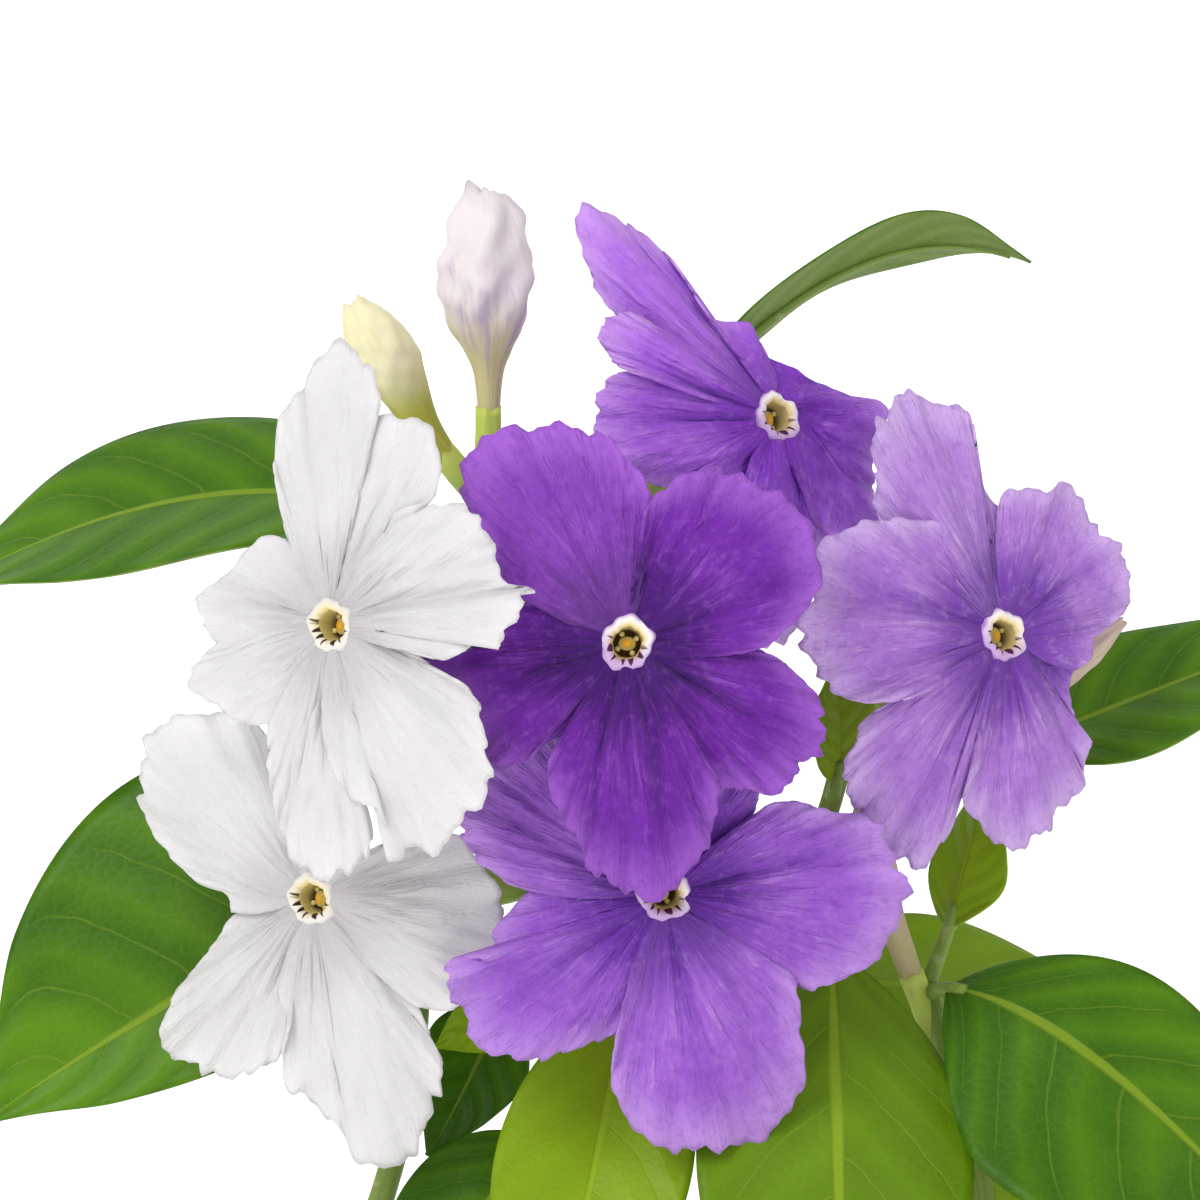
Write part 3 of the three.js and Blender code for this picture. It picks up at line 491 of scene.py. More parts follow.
def eye_finish(name, ring, edge, well, dash):
    """A pale ring that takes the petal's tint below and at its edge, and short dark wedges that point
    outwards round its mouth, most of them below, where the mark shade is 1. The well darkens to
    brown at its floor, as painted shade."""
    made = Finish(name)
    uv = made.grown()
    around, inward = made.parts(uv)
    low = made.mark("shade")
    jitter = made.line(made.noise(1.0, made.stretched(uv, 7.0, 0.0), 1.0), 1.8, -0.9)
    wedge = made.less(made.zigzag(made.line(around, DASHES, jitter)), made.line(inward, 0.9, -0.46))
    rim = made.times(made.step(inward, 0.44, 0.5), made.step(inward, 0.86, 0.74))
    stroke = made.times(made.step(wedge, 0.17, 0.22), made.times(rim, made.step(low, 0.1, 0.5)))
    tint = made.larger(made.step(inward, 0.8, 1.0), made.times(low, 0.75))
    colour = made.layers(
        made.blend(made.step(inward, 0.8, 0.56), ring, tone(232, 214, 150)),
        (made.times(tint, 0.85), edge), (stroke, dash),
        # painted shade: the well's floor darkens to brown
        (made.step(inward, 0.54, 0.46), well), (made.step(inward, 0.3, 0.04), tone(124, 98, 52)))
    normal = made.bump(made.noise(900.0, made.object_place()), 0.2, 0.0004)
    return made.skin(colour, 0.6, 0.25, normal)


def pistil_finish():
    """A cream cup with a yellow middle where shade is 1; the UV map runs from the style's foot up."""
    made = Finish("stigma")
    along = made.parts(made.grown())[1]
    grain = made.noise(700.0, made.object_place())
    cream = made.blend(grain, tone(196, 180, 104), tone(228, 214, 150))
    yellow = made.times(made.step(along, 0.95, 0.99), made.mark("shade"))
    return made.skin(made.blend(yellow, cream, tone(214, 156, 10)), 0.5)


def bud_finish(name, low, high, flush, flush_share):
    """From the tube's colour low to the head's colour high, with a flush in the folds."""
    made = Finish(name)
    folds = made.noise(1.0, made.stretched(made.grown(), 14.0, 3.0), 4.0)
    colour = made.layers(made.blend(made.mark("shade"), low, high),
                         (made.times(made.step(folds, 0.5, 0.72), flush_share), flush))
    return made.skin(colour, 0.5, 0.35, made.bump(folds, 0.35, 0.001), colour, 0.2)


violet_eye = eye_finish("violet_eye", tone(230, 222, 220), tone(160, 98, 196), tone(196, 178, 124),
                        tone(70, 18, 62))
# the white eye's ring is its own cream greyed down, and its edge is the white petal's grey: partly painted
# shade
white_eye = eye_finish("white_eye", tone(216, 211, 194), tone(219, 216, 214), tone(196, 180, 116),
                       tone(48, 30, 20))
stigma = pistil_finish()
cream_bud = bud_finish("bud_cream", tone(186, 188, 72), tone(246, 240, 200), tone(230, 218, 152), 0.35)
lilac_bud = bud_finish("bud_lilac", tone(220, 212, 156), tone(238, 230, 232), tone(186, 162, 200), 0.7)
blush_bud = bud_finish("bud_blush", tone(190, 180, 128), tone(216, 196, 178), tone(198, 156, 168), 0.5)
print("small finishes:", violet_eye.name, white_eye.name, stigma.name, cream_bud.name, lilac_bud.name)

# %% [markdown]
# ### Leaves and stalks
#
# The upper side of a leaf is dark and smooth, the lower side paler and matt. Both carry a pale
# midrib and side veins that leave it slanting towards the tip and bow on near the edge. With u
# along the midrib and v out to the edge, the side veins are lines of the sum count · (u - slant · v
# - bow · v²), one wherever it passes a whole number. A cell pattern adds the fine net between them.

# %% Leaf and stalk finishes
SIDE_VEINS = 6.0
VEIN_SLANT = 0.17
VEIN_BOW = 0.12
VEIN_STAGGER = 0.43


def leaf_finish(name, dark, light, vein, roughness, gloss, sunk, through):
    """Dark by the side veins and light between them. Veins stand out by sunk, or lie deeper where it
    is below 0. The mark shade says how young a leaf is, and a young one is yellow green."""
    made = Finish(name)
    uv = made.grown()
    along, across = made.parts(uv)
    out = made.times(made.math("ABSOLUTE", made.less(across, 0.5)), 2.0)
    side = made.times(made.math("GREATER_THAN", across, 0.5), VEIN_STAGGER)
    waver = made.line(made.noise(5.0, uv, 2.0), 0.05, -0.025)
    slanted = made.less(made.plus(along, waver), made.times(out, VEIN_SLANT))
    bowed = made.less(slanted, made.times(made.math("POWER", out, 2.0), VEIN_BOW))
    lines = made.zigzag(made.line(bowed, SIDE_VEINS, side))
    side_vein = made.times(made.step(lines, 0.03, 0.008), made.step(out, 0.98, 0.7))
    midrib = made.step(made.times(out, made.step(along, 1.0, 0.2, 2.2, 1.0)), 0.065, 0.025)
    veins = made.larger(midrib, made.times(side_vein, 0.32))
    place = made.object_place()
    net = made.node("TexVoronoi", {"Vector": place, "Scale": 620.0}, feature="DISTANCE_TO_EDGE")
    cloud = made.noise(38.0, place, 3.0)
    fleck = made.noise(500.0, place, 2.0)
    colour = made.layers(
        made.blend(made.step(made.line(lines, 0.5, cloud), 0.4, 0.95), dark, light),
        (made.times(made.step(net, 0.07, 0.0), 0.1), vein),
        (made.times(made.step(fleck, 0.6, 0.75), 0.12), dark),
        (made.times(veins, 0.85), vein))
    young = made.blend(0.7, colour, tone(164, 196, 24))
    colour = made.blend(made.held(made.mark("shade")), colour, young)
    relief = made.plus(made.times(lines, 1.2), made.times(net, 0.35), made.times(veins, sunk))
    thin = made.blend(0.5, colour, tone(160, 200, 30))
    return made.skin(colour, roughness, gloss, made.bump(relief, 0.4, 0.0007), thin, through)


def stalk_finish():
    """Green with lengthwise streaks, browned where shade is high, as at an old stem's foot, and
    yellow green where it is below 0, as round a young bud."""
    made = Finish("stalk")
    streaks = made.noise(1.0, made.stretched(made.grown(), 24.0, 5.0), 4.0)
    dots = made.noise(420.0, made.object_place(), 2.0)
    bark = made.blend(streaks, tone(110, 92, 62), tone(164, 148, 108))
    shade = made.mark("shade")
    colour = made.layers(
        made.blend(streaks, tone(92, 124, 34), tone(142, 168, 70)),
        (made.held(shade), bark), (made.held(shade, -1.0), tone(200, 214, 98)),
        (made.times(made.step(dots, 0.62, 0.72), 0.3), tone(190, 190, 140)))
    return made.skin(colour, 0.5, 0.4, made.bump(made.plus(streaks, dots), 0.3, 0.0006))


leaf_top = leaf_finish("leaf_top", tone(56, 102, 2), tone(90, 136, 4), tone(132, 160, 36),
                       roughness=0.42, gloss=0.22, sunk=-0.7, through=0.16)
leaf_back = leaf_finish("leaf_back", tone(112, 142, 54), tone(146, 166, 92), tone(176, 190, 124),
                        roughness=0.6, gloss=0.25, sunk=1.2, through=0.2)
stalk = stalk_finish()
print("leaf finishes:", leaf_top.name, leaf_back.name, stalk.name)

# %% [markdown]
# ## Stems
#
# Each woody stem rises from the soil on a smooth route. Leaves, flower stalks and buds join it at
# the place of its midline nearest to the joint that they name. Rings of old leaf scars thicken it a
# little. A curve object with a bevel would do for a plain stem, but its thickness has to swell at
# each scar, so it is a tube with a radius for each place along it.

# %% Routes of the stems
SOIL_DROP = -187.0
# radii at the foot and the top, how brown the foot is, and the route from the soil up
STEMS = {
    "centre": {"foot": 2.6, "top": 1.5, "bark": 0.5, "route": [
        [-8, SOIL_DROP, 8], [-9, -140, 9], [-6, -90, 12], [-5, -45, 14], [-5, -8, 10], [-2, 4, 12],
        [4, 16, 15]]},
    "right": {"foot": 2.6, "top": 1.3, "bark": 0.9, "route": [
        [22, SOIL_DROP, 4], [36, -140, 5], [46, -95, 6], [48, -76, 7], [45.5, -64, 8], [41, -48, 10]]},
    "right_branch": {"foot": 2.1, "top": 1.3, "bark": 0.3, "route": [
        [6, SOIL_DROP, 14], [10, -120, 15], [14, -80, 13], [22, -48, 10], [28.5, -26.5, 9.5],
        [31.5, -18, 12], [36, -18, 19]]},
    "left": {"foot": 2.4, "top": 1.4, "bark": 0.5, "route": [
        [-26, SOIL_DROP, 12], [-36, -150, 16], [-34, -100, 22], [-24, -62, 23], [-22, -38, 22]]},
    "back": {"foot": 2.6, "top": 1.4, "bark": 0.5, "route": [
        [0, SOIL_DROP, 30], [-2, -140, 34], [0, -90, 32], [3, -50, 28], [3, -30, 26], [7, -14, 27]]},
}
JOINT_PLACES, STEM_PLACES, STEM_SIDES = 121, 90, 16
SCARS, SCAR_WIDTH, SCAR_SWELL = 9, 0.014, 0.12
TOP, BACK, STALK = 0, 1, 2
foliage = {key: [] for key in STEMS}


def stem_midline(key, count=JOINT_PLACES):
    """The smooth route of a stem, at count even steps."""
    return smooth_route(seen(STEMS[key]["route"]), count)


def stem_place(key, share):
    """The midline's place at a share of its length."""
    steps = np.arange(JOINT_PLACES)
    return np.array([np.interp(share * (JOINT_PLACES - 1), steps, axis) for axis in stem_midline(key).T])


def nearest_on_stem(key, joint):
    """The midline's place that lies nearest to a joint given as seen."""
    route = stem_midline(key)
    return route[np.argmin(np.linalg.norm(route - seen(joint), axis=1))]


def stem_shape(key):
    """Radius falls evenly from foot to top and swells by a bell curve at each leaf scar."""
    stem = STEMS[key]
    t = np.linspace(0, 1, STEM_PLACES)
    scars = (np.arange(SCARS) + 0.5) / SCARS
    swelling = np.exp(-(((t[:, None] - scars) / SCAR_WIDTH) ** 2)).sum(axis=1)
    radius = mix(stem["foot"], stem["top"], t) * (1 + SCAR_SWELL * swelling)
    bark = stem["bark"] * ease(1.3 - 1.2 * t)
    return tube(stem_midline(key, STEM_PLACES), radius, STEM_SIDES, STALK, shade=bark)


for key in STEMS:
    foliage[key].append(stem_shape(key))
print("stems:", len(foliage))

# %% [markdown]
# ## Leaves
#
# A leaf's midrib bends from its base over a middle place to its tip. Its half width swells and
# falls with a sine whose peak sits a little nearer to the base, its edges lift, and they ripple.
# The petiole runs on under the blade as the midrib, which stands out below.

# %% One leaf
LEAF_ROWS, LEAF_COLUMNS = 61, 25
LEAF_THICKNESS, EDGE_THINNING = 0.4, 0.4
TIP_START, TIP_LENGTH, TIP_DRAW = 0.72, 0.28, 0.3
CUP = 0.45
RIPPLES, RIPPLE_SHIFT = 9, 1.3
RIB_FOOT, RIB_TIP, RIB_DROP, RIB_END, RIB_SIDES = 0.75, 0.12, 0.5, -4, 8
PETIOLE_RADIUS, PETIOLE_TAPER, PETIOLE_PLACES, PETIOLE_SIDES = 1.1, 0.65, 14, 10


def bend(base, via, tip, u):
    """Quadratic Bezier curve: (1-u)² base + 2u(1-u) via + u² tip, with its direction."""
    u = u[:, None]
    place = (1 - u) ** 2 * base + 2 * u * (1 - u) * via + u**2 * tip
    return place, unit(2 * (1 - u) * (via - base) + 2 * u * (tip - via))


def leaf_shape(joint, base, via, tip, half, fold=0.25, wave=0.8, widest=0.45, sides=(1.0, 1.0), young=0.0):
    """Midrib(u) + side · v · breadth(u) + face · (fold · |v| · breadth · (1 - 0.45 |v|) + wave · v² ·
    sin(9u + 1.3 sign v)), where breadth is half · sin(pi · u^k)^0.8 drawn in at the tip. An uneven
    leaf has a share of the half width for each of its sides."""
    u, across = np.linspace(0, 1, LEAF_ROWS), np.linspace(-1, 1, LEAF_COLUMNS)
    v = across * np.where(across < 0, sides[0], sides[1])
    midrib, along = bend(base, via, tip, u)
    side = unit(half - along * (along @ half)[:, None])
    face = np.cross(side, along)
    peak = np.log(0.5) / np.log(widest)
    swell = np.sin(np.pi * u**peak).clip(0) ** 0.8 * (1 - TIP_DRAW * ease((u - TIP_START) / TIP_LENGTH))
    breadth = np.maximum(0.3, np.linalg.norm(half) * swell)[:, None]
    lift = fold * np.abs(v) * breadth * (1 - CUP * np.abs(v))
    ripple = wave * v**2 * np.sin(RIPPLES * u[:, None] + RIPPLE_SHIFT * np.sign(v)) * swell[:, None]
    outward = side[:, None] * (v * breadth)[..., None]
    grid = midrib[:, None] + outward + face[:, None] * (lift + ripple)[..., None]
    uv = np.stack(np.broadcast_arrays(u[:, None], (across + 1) / 2), -1)
    faces_up = np.mean(face, axis=0) @ np.array([0, -0.7, 1.0]) > 0
    skins = (BACK, TOP) if faces_up else (TOP, BACK)
    blade = sheet(grid, LEAF_THICKNESS * (1 - EDGE_THINNING * np.abs(across)), uv, skins, shade=young)
    below = face * (-RIB_DROP if faces_up else RIB_DROP)
    rib = tube((midrib + below)[:RIB_END], mix(RIB_FOOT, RIB_TIP, u[:RIB_END]), RIB_SIDES, STALK)
    route = smooth_route([joint, base, base + 3 * unit(via - base)], PETIOLE_PLACES)
    taper = np.linspace(1, PETIOLE_TAPER, PETIOLE_PLACES)
    petiole = tube(route, PETIOLE_RADIUS * taper, PETIOLE_SIDES, STALK)
    return [blade, rib, petiole]


print("a leaf of", LEAF_ROWS, "by", LEAF_COLUMNS, "places")

# %% The leaves that show from the front
# its stem, then as seen: joint, base, a place the midrib leans to, tip and half width; and its form
SEEN_LEAVES = {
    "upper left": ("centre", [-5, -4, 12], [-24, 11, 14], [-52, 19, 16], [-84, 0, 24], [0, 9.4, 13],
                   {"fold": 0.2}),
    "lower left": ("left", [-23, -42, 22], [-27, -36, 20], [-54, -49.5, 24], [-77.5, -65.5, 22],
                   [-6.5, 24, 5], {"fold": 0.14, "widest": 0.35, "sides": (0.46, 1.1)}),
    "hanging right": ("right_branch", [23.5, -43, 10], [29, -44, 4], [30, -70, -16], [30, -112, -26],
                      [17, 0, 3], {"fold": 0.15, "young": 0.35}),
    "young, hanging": ("centre", [-3, -45, 13], [3, -50, 4], [0, -72, -6], [-8, -100, -24], [-12, 2, 2],
                       {"young": 0.8}),
    "dark, low": ("left", [-20, -58, 22], [-12, -50, 19], [-15, -58, 17], [-21.6, -69.5, 16],
                  [6, -3, 4], {"fold": 0.14}),
    "pale curl": ("centre", [-5, -49, 14], [-9, -51, 12], [-14, -52.5, 10], [-20.6, -56, 9],
                  [1.3, -3.9, 1.5], {"fold": 0.4, "young": 1.0}),
    "dark, lower": ("centre", [-3, -62, 14], [-9, -67, 10], [-14, -76, 2], [-30, -98, 0], [-6, 7, 4],
                    {"fold": 0.2}),
    "top right": ("centre", [3, 14, 15], [12, 27, 18], [35, 51, 26], [53.8, 42.2, 34], [1.2, -2.2, 8.3],
                  {"fold": -0.2}),
    "right": ("right_branch", [36, -19, 19], [52, -18.5, 22], [66, -12.6, 20], [94, -2, 22],
              [1.5, -7.3, -9], {"fold": 0.2}),
    "small, middle": ("right_branch", [28.8, -25.5, 10], [29.4, -22.9, 7], [30.5, -16, 5],
                      [29, -7.5, 2], [4.2, 1, 2.5], {"fold": 0.4, "young": 0.85}),
    "rising": ("right", [41, -48.5, 10], [43.6, -41, 10.5], [45.5, -33, 13], [49, -21.5, 12],
               [-4.2, 0.8, 4], {"fold": 0.35, "young": 0.85}),
    "pale, behind": ("right_branch", [22, -48, 10], [24, -50, 18], [44, -43, 30], [74, -60, 34],
                     [0, 9, 8], {"fold": 0.2, "young": 0.7}),
    "lower right": ("right", [41, -49, 8], [43.5, -48.5, 3], [62, -50.5, -14], [94, -91, -12],
                    [7.5, 10.5, 8], {"fold": 0.14, "widest": 0.5, "sides": (1.4, 1.0)}),
    "yellow green": ("right", [42, -55, 9], [43, -54, 12], [52, -68, 17], [62, -97, 14], [-8.5, -3, 6],
                     {"fold": 0.2, "young": 1.0}),
}
for stem, joint, base, via, tip, half, form in SEEN_LEAVES.values():
    side = seen(half) - seen([0, 0, 0])
    joint = nearest_on_stem(stem, joint)
    foliage[stem] += leaf_shape(joint, seen(base), seen(via), seen(tip), side, **form)
print("leaves that show:", len(SEEN_LEAVES))

# %% The leaves that fill the shrub
# the stem, the shares of its length from and to, reach, half width, and the angles about the stem
FILLERS = [
    ("centre", 0.12, 0.34, 62, 16, [-100, 115, 200]),
    ("right", 0.15, 0.56, 62, 16, [-35, 80, 215, 355, 130]),
    ("right_branch", 0.1, 0.42, 58, 15, [20, 50, 295]),
    ("left", 0.12, 0.6, 60, 16, [275, 80, 140, 305, 55, 170]),
    ("back", 0.14, 0.5, 60, 16, [140, 70, 55, 170, 45]),
    ("back", 0.58, 0.85, 46, 13, [190, 80]),
]
RISE = np.array([0.0, 0.0, 1.0])
LENGTH_STRIDE, WIDTH_STRIDE, RISE_STRIDE = 0.618, 0.755, 0.57


def filler_leaf(joint, reach, half_width, angle, n):
    """Points outwards at an angle about the stem; length, width and rise vary with the parts after
    the point of n times three fixed strides."""
    turn = np.radians(angle)
    outward = np.array([np.cos(turn), np.sin(turn), 0])
    length = reach * (0.75 + 0.35 * (n * LENGTH_STRIDE % 1))
    width = half_width * (0.9 + 0.25 * (n * WIDTH_STRIDE % 1))
    rise = length * (0.18 + 0.12 * (n * RISE_STRIDE % 1))
    base = joint + 8 * outward + 3 * RISE
    via = joint + 0.55 * length * outward + rise * RISE
    tip = joint + length * outward - 0.2 * length * RISE
    half = np.array([-outward[1], outward[0], 0]) * width
    return leaf_shape(joint, base, via, tip, half, fold=0.22)


for stem, start, end, reach, half_width, angles in FILLERS:
    for n, (share, angle) in enumerate(zip(np.linspace(start, end, len(angles)), angles)):
        foliage[stem] += filler_leaf(stem_place(stem, share), reach, half_width, angle, n)
print("shapes on the stems so far:", {key: len(shapes) for key, shapes in foliage.items()})

# %% [markdown]
# ## Blooms
#
# A lobe fans out from its share of the eye to its edge, which is drawn as it looks from the front,
# right and up from the throat in millimetres, anticlockwise. Moving each place only towards or away
# from the viewer keeps that outline true while the lobe bends back, overlaps its neighbours,
# ruffles at its edge and creases near the throat.

# %% Outlines of the lobes
def lobe(edge, over, shade=0.0, folds=()):
    """over lifts the lobe's first and last side; folds are (share across, depth, width). shade deepens
    the whole lobe above 0 and pales it below: partly the lobe's own tone, partly painted light and shade.
    """
    return {"edge": edge, "over": over, "shade": shade, "folds": folds}


DEEP_VIOLET = [
    lobe([[2.5, 12], [2.5, 19], [-3.5, 25], [-9, 26.5], [-12, 25], [-14, 26], [-17.5, 25], [-19.5, 21],
          [-19.5, 17], [-19, 14.5], [-16, 7.5], [-11.5, 5]], (-0.9, 0.5), -0.3),
    lobe([[9, -1.5], [14.5, -1], [18, 0.5], [20.5, 3], [23, 7.5], [22.5, 13], [20, 16], [14.5, 20],
          [10.5, 20.5], [6.5, 20], [2.5, 16.5], [1.5, 8]], (0.8, 0.9), 0.1,
         [(0.35, 0.8, 0.05), (0.8, 0.7, 0.04)]),
    lobe([[8, -14.5], [11, -17], [14, -17.5], [17.5, -18], [21.5, -14.5], [23.5, -11.5], [23.5, -8],
          [21.5, -5], [19, -2.5], [15, -0.5]], (-0.7, -0.7), 0.15, [(0.5, 0.9, 0.06)]),
    lobe([[-7.5, -11.5], [-9.5, -14.5], [-8.5, -19], [-5, -25.5], [-2, -29], [1.5, -30.5], [5.5, -29.5],
          [8, -27], [10.5, -21], [11, -17], [9, -14]], (0.6, 0.8), 0.25,
         [(0.3, 0.7, 0.05), (0.65, 0.6, 0.05)]),
    lobe([[-11, 5], [-16, 4], [-18, 0], [-23.5, -1.5], [-24.5, -3], [-21.5, -5.5], [-18.5, -9],
          [-18, -13], [-15.5, -14.5], [-12, -14], [-10, -12], [-8, -11]], (-0.4, -0.6), 0.3,
         [(0.55, 0.8, 0.06)]),
]
LEFT_WHITE = [
    lobe([[6, 11], [8, 14], [12, 15], [13, 20], [12, 24], [8, 25], [5, 25], [6, 28], [3.5, 32], [0.5, 34],
          [-2.5, 32.5], [-4.5, 28.5], [-6.5, 25.5], [-7.5, 20], [-7, 16.5], [-6, 12]], (-0.8, 0.6)),
    lobe([[9, -2.5], [14, -4], [17.5, -2], [20, -2.5], [22, 0], [23, 4], [24.5, 4], [20.5, 6], [19, 10.5],
          [17, 14], [12, 14], [8, 12.5], [6, 10.5]], (0.8, 0.8), 0.0, [(0.55, 0.7, 0.06)]),
    lobe([[-1, -14], [0.5, -18], [3, -21.5], [6, -22], [7, -28.5], [8.5, -28.5], [10, -26],
          [12.5, -27], [15, -24.5], [18, -21], [19, -16.5], [18.5, -12], [16.5, -7.5], [12.5, -5],
          [10, -3]], (0.9, -0.7)),
    lobe([[-8, -12], [-8, -15], [-8, -19], [-6.5, -25], [-5, -29], [-1, -30], [2, -30], [4, -27.5],
          [4.5, -23.5], [1.5, -19], [-1, -14]], (0.5, -0.8), 0.1),
    lobe([[-6, 10.5], [-8, 11], [-11, 9], [-14.5, 5.5], [-16.5, 4], [-17.5, 2], [-15.5, -1], [-15, -2.5],
          [-18, -5], [-18.5, -7.5], [-16, -9], [-13.5, -11], [-10, -12], [-7.5, -12]], (-0.7, -0.5), 0.1,
         [(0.3, 0.8, 0.06)]),
]
LOW_WHITE = [
    lobe([[-3, 7.5], [-4.5, 13.5], [-5, 18], [-7, 21], [-11.5, 23], [-16, 23], [-20, 21], [-23, 18],
          [-23, 14.5], [-22, 9.5], [-19, 5], [-14.5, 1.5], [-11, 0], [-10.5, -2]], (0.7, 0.4)),
    lobe([[4, 6], [5.5, 10], [4.5, 13.5], [1, 15.5], [-2.5, 13.5], [-3, 8.5]], (-0.6, -0.7), 0.2),
    lobe([[10.5, -11], [13.5, -13], [17, -13], [19.5, -11.5], [21, -8], [23, -6.5], [24, -1], [22, 3.5],
          [19, 8], [16, 8.5], [11, 7.5], [6, 6]], (0.7, 0.5)),
    lobe([[-4.5, -12], [-3, -16], [-4, -19.5], [-3.5, -23.5], [-0.5, -26], [3, -28.5], [4.5, -31],
          [5.5, -33], [8, -34], [11, -33], [13, -30], [15.5, -25], [16, -20], [14.5, -16], [13, -12.5],
          [10.5, -11]], (0.6, -0.8), 0.05),
    lobe([[-10.5, -2.5], [-12.5, -5.5], [-16, -10], [-19.5, -15], [-20, -17.5], [-19.5, -20],
          [-15.5, -22.5], [-9, -22.5], [-5, -20.5], [-3.5, -17], [-5, -13], [-4.5, -12]],
         (-0.6, -0.6), 0.05),
]
LOW_VIOLET = [
    lobe([[-5.5, 12], [-10.5, 18.5], [-17, 20], [-22.5, 16.5], [-25.5, 11], [-24, 6.5], [-20, 2],
          [-16.5, 0.5]], (0.6, 0.6), -0.1),
    lobe([[9, 7], [10.5, 9], [11.5, 12], [11, 16], [6, 18.5], [-2, 17], [-5, 12]], (-0.7, -0.7), 0.35),
    lobe([[14.5, -8.5], [16.5, -11.5], [20.5, -11.5], [25, -9], [28, -6], [29.5, -1], [28.5, 4.5],
          [25.5, 8.5], [21, 10], [13, 11], [10.5, 9]], (-0.7, 0.7), 0.0, [(0.62, 0.9, 0.05)]),
    lobe([[-5, -14], [-6, -19], [-6, -25], [-3, -29.5], [0.5, -31], [4, -32.5], [8, -31], [10.5, -31],
          [14.5, -29], [17, -24], [17, -19], [16.5, -13], [15, -9.5], [11, -9]], (0.7, 0.8), -0.1,
         [(0.45, 0.7, 0.06)]),
    lobe([[-16.5, 0.5], [-19.5, -3], [-20.5, -4.5], [-21, -8], [-25.5, -8], [-26, -12.5], [-24, -16],
          [-22, -19], [-18, -20.5], [-13, -19.5], [-7.5, -18], [-5, -16], [-5, -14]], (-0.6, -0.7), 0.1,
         [(0.5, 0.7, 0.06)]),
]
TOP_VIOLET = [
    lobe([[-1, 7], [-2.5, 10], [-3.5, 11.5], [-8, 12], [-11.5, 17], [-14.5, 21], [-17, 22.5], [-24, 26],
          [-24, 20], [-22.5, 16], [-20, 12.5], [-18, 11.5]], (0.5, -0.8), -0.1),
    lobe([[-16, 11.5], [-19, 12.5], [-21.5, 11], [-22, 9.5], [-21, 7.5], [-19, 5.5], [-17, 5]], (0.8, 0.7)),
    lobe([[-17, 5], [-20, 5], [-22, 2], [-22.5, -2], [-21, -5.5], [-17, -8], [-11, -9], [-4, -7.5]],
         (-0.7, -0.6), 0.1, [(0.3, 0.8, 0.06)]),
    lobe([[-4, -8], [-3.5, -13], [0, -16], [4.5, -15.5], [5, -13], [3, -8]], (0.7, -0.8), 0.15),
    lobe([[3, -8], [5, -13.5], [8.5, -15.5], [13, -13], [12, -7.5], [13, -3], [14, 1.5], [9.5, 3], [5, 4.5],
          [2, 6.2], [-1.2, 7.4]], (0.6, -0.5), 0.0, [(0.6, 0.6, 0.06)]),
]
LAVENDER = [
    lobe([[-0.5, 16], [-2, 17.5], [-3, 22], [-4, 27.5], [-6, 29], [-10, 29], [-12, 30.5], [-14, 28.5],
          [-16, 24], [-16, 19.5], [-15.5, 14.5], [-10.5, 9.5]], (-0.6, -0.9), -0.15),
    lobe([[9.2, -4.4], [11.5, -2.8], [11.5, -1], [15, 2], [17, 5], [16, 9.5], [14, 12], [12, 14], [10, 17],
          [8, 19.5], [6.5, 18], [3, 18], [0.5, 18], [-0.5, 16]], (0.7, 0.6), 0.0, [(0.5, 0.7, 0.05)]),
    lobe([[-3, -16.5], [-5, -20], [-3, -23.5], [0, -26], [5.5, -25], [7, -21.5], [10.5, -20], [11, -19],
          [10.5, -16], [11.5, -13.5], [10, -11.5], [8.5, -7], [9.5, -4]], (0.7, -0.7), 0.05),
    lobe([[-10, -7], [-13.5, -8], [-17.5, -10.5], [-19.5, -15], [-19.5, -19], [-17.5, -23.5], [-14.5, -27],
          [-10, -29], [-9, -27], [-6.5, -24], [-6, -21.5], [-4.5, -19], [-3, -16.5]], (-0.6, -0.7), 0.0,
         [(0.6, 0.7, 0.05)]),
    lobe([[-5.5, 12], [-8.5, 14], [-14.5, 14], [-18, 14], [-22.5, 11], [-23.5, 6], [-25, 3], [-25, -2],
          [-22.5, -5.5], [-18.5, -8], [-13.5, -8], [-10, -7]], (0.9, 0.7), 0.0,
         [(0.45, 1.2, 0.07), (0.75, 0.6, 0.05)]),
]


def even_lobes(reach, start):
    """Five alike lobes, wide and round with a shallow notch, for a bloom that turns away."""
    edge = np.array([[-34, 0.36], [-37, 0.74], [-20, 0.99], [0, 0.95], [21, 1], [37, 0.74],
                     [34, 0.36]])
    around = np.radians(start + 72 * np.arange(5)[:, None] + edge[:, 0])
    outlines = np.stack([np.cos(around), np.sin(around)], -1) * (edge[:, 1] * reach)[:, None]
    return [lobe(outline, (0.7, -0.7), 0.0, [(0.5, 0.6, 0.06)]) for outline in outlines]


drawn_by_hand = [DEEP_VIOLET, LEFT_WHITE, LOW_WHITE, LOW_VIOLET, TOP_VIOLET, LAVENDER]
print("lobes drawn:", sum(map(len, drawn_by_hand)))

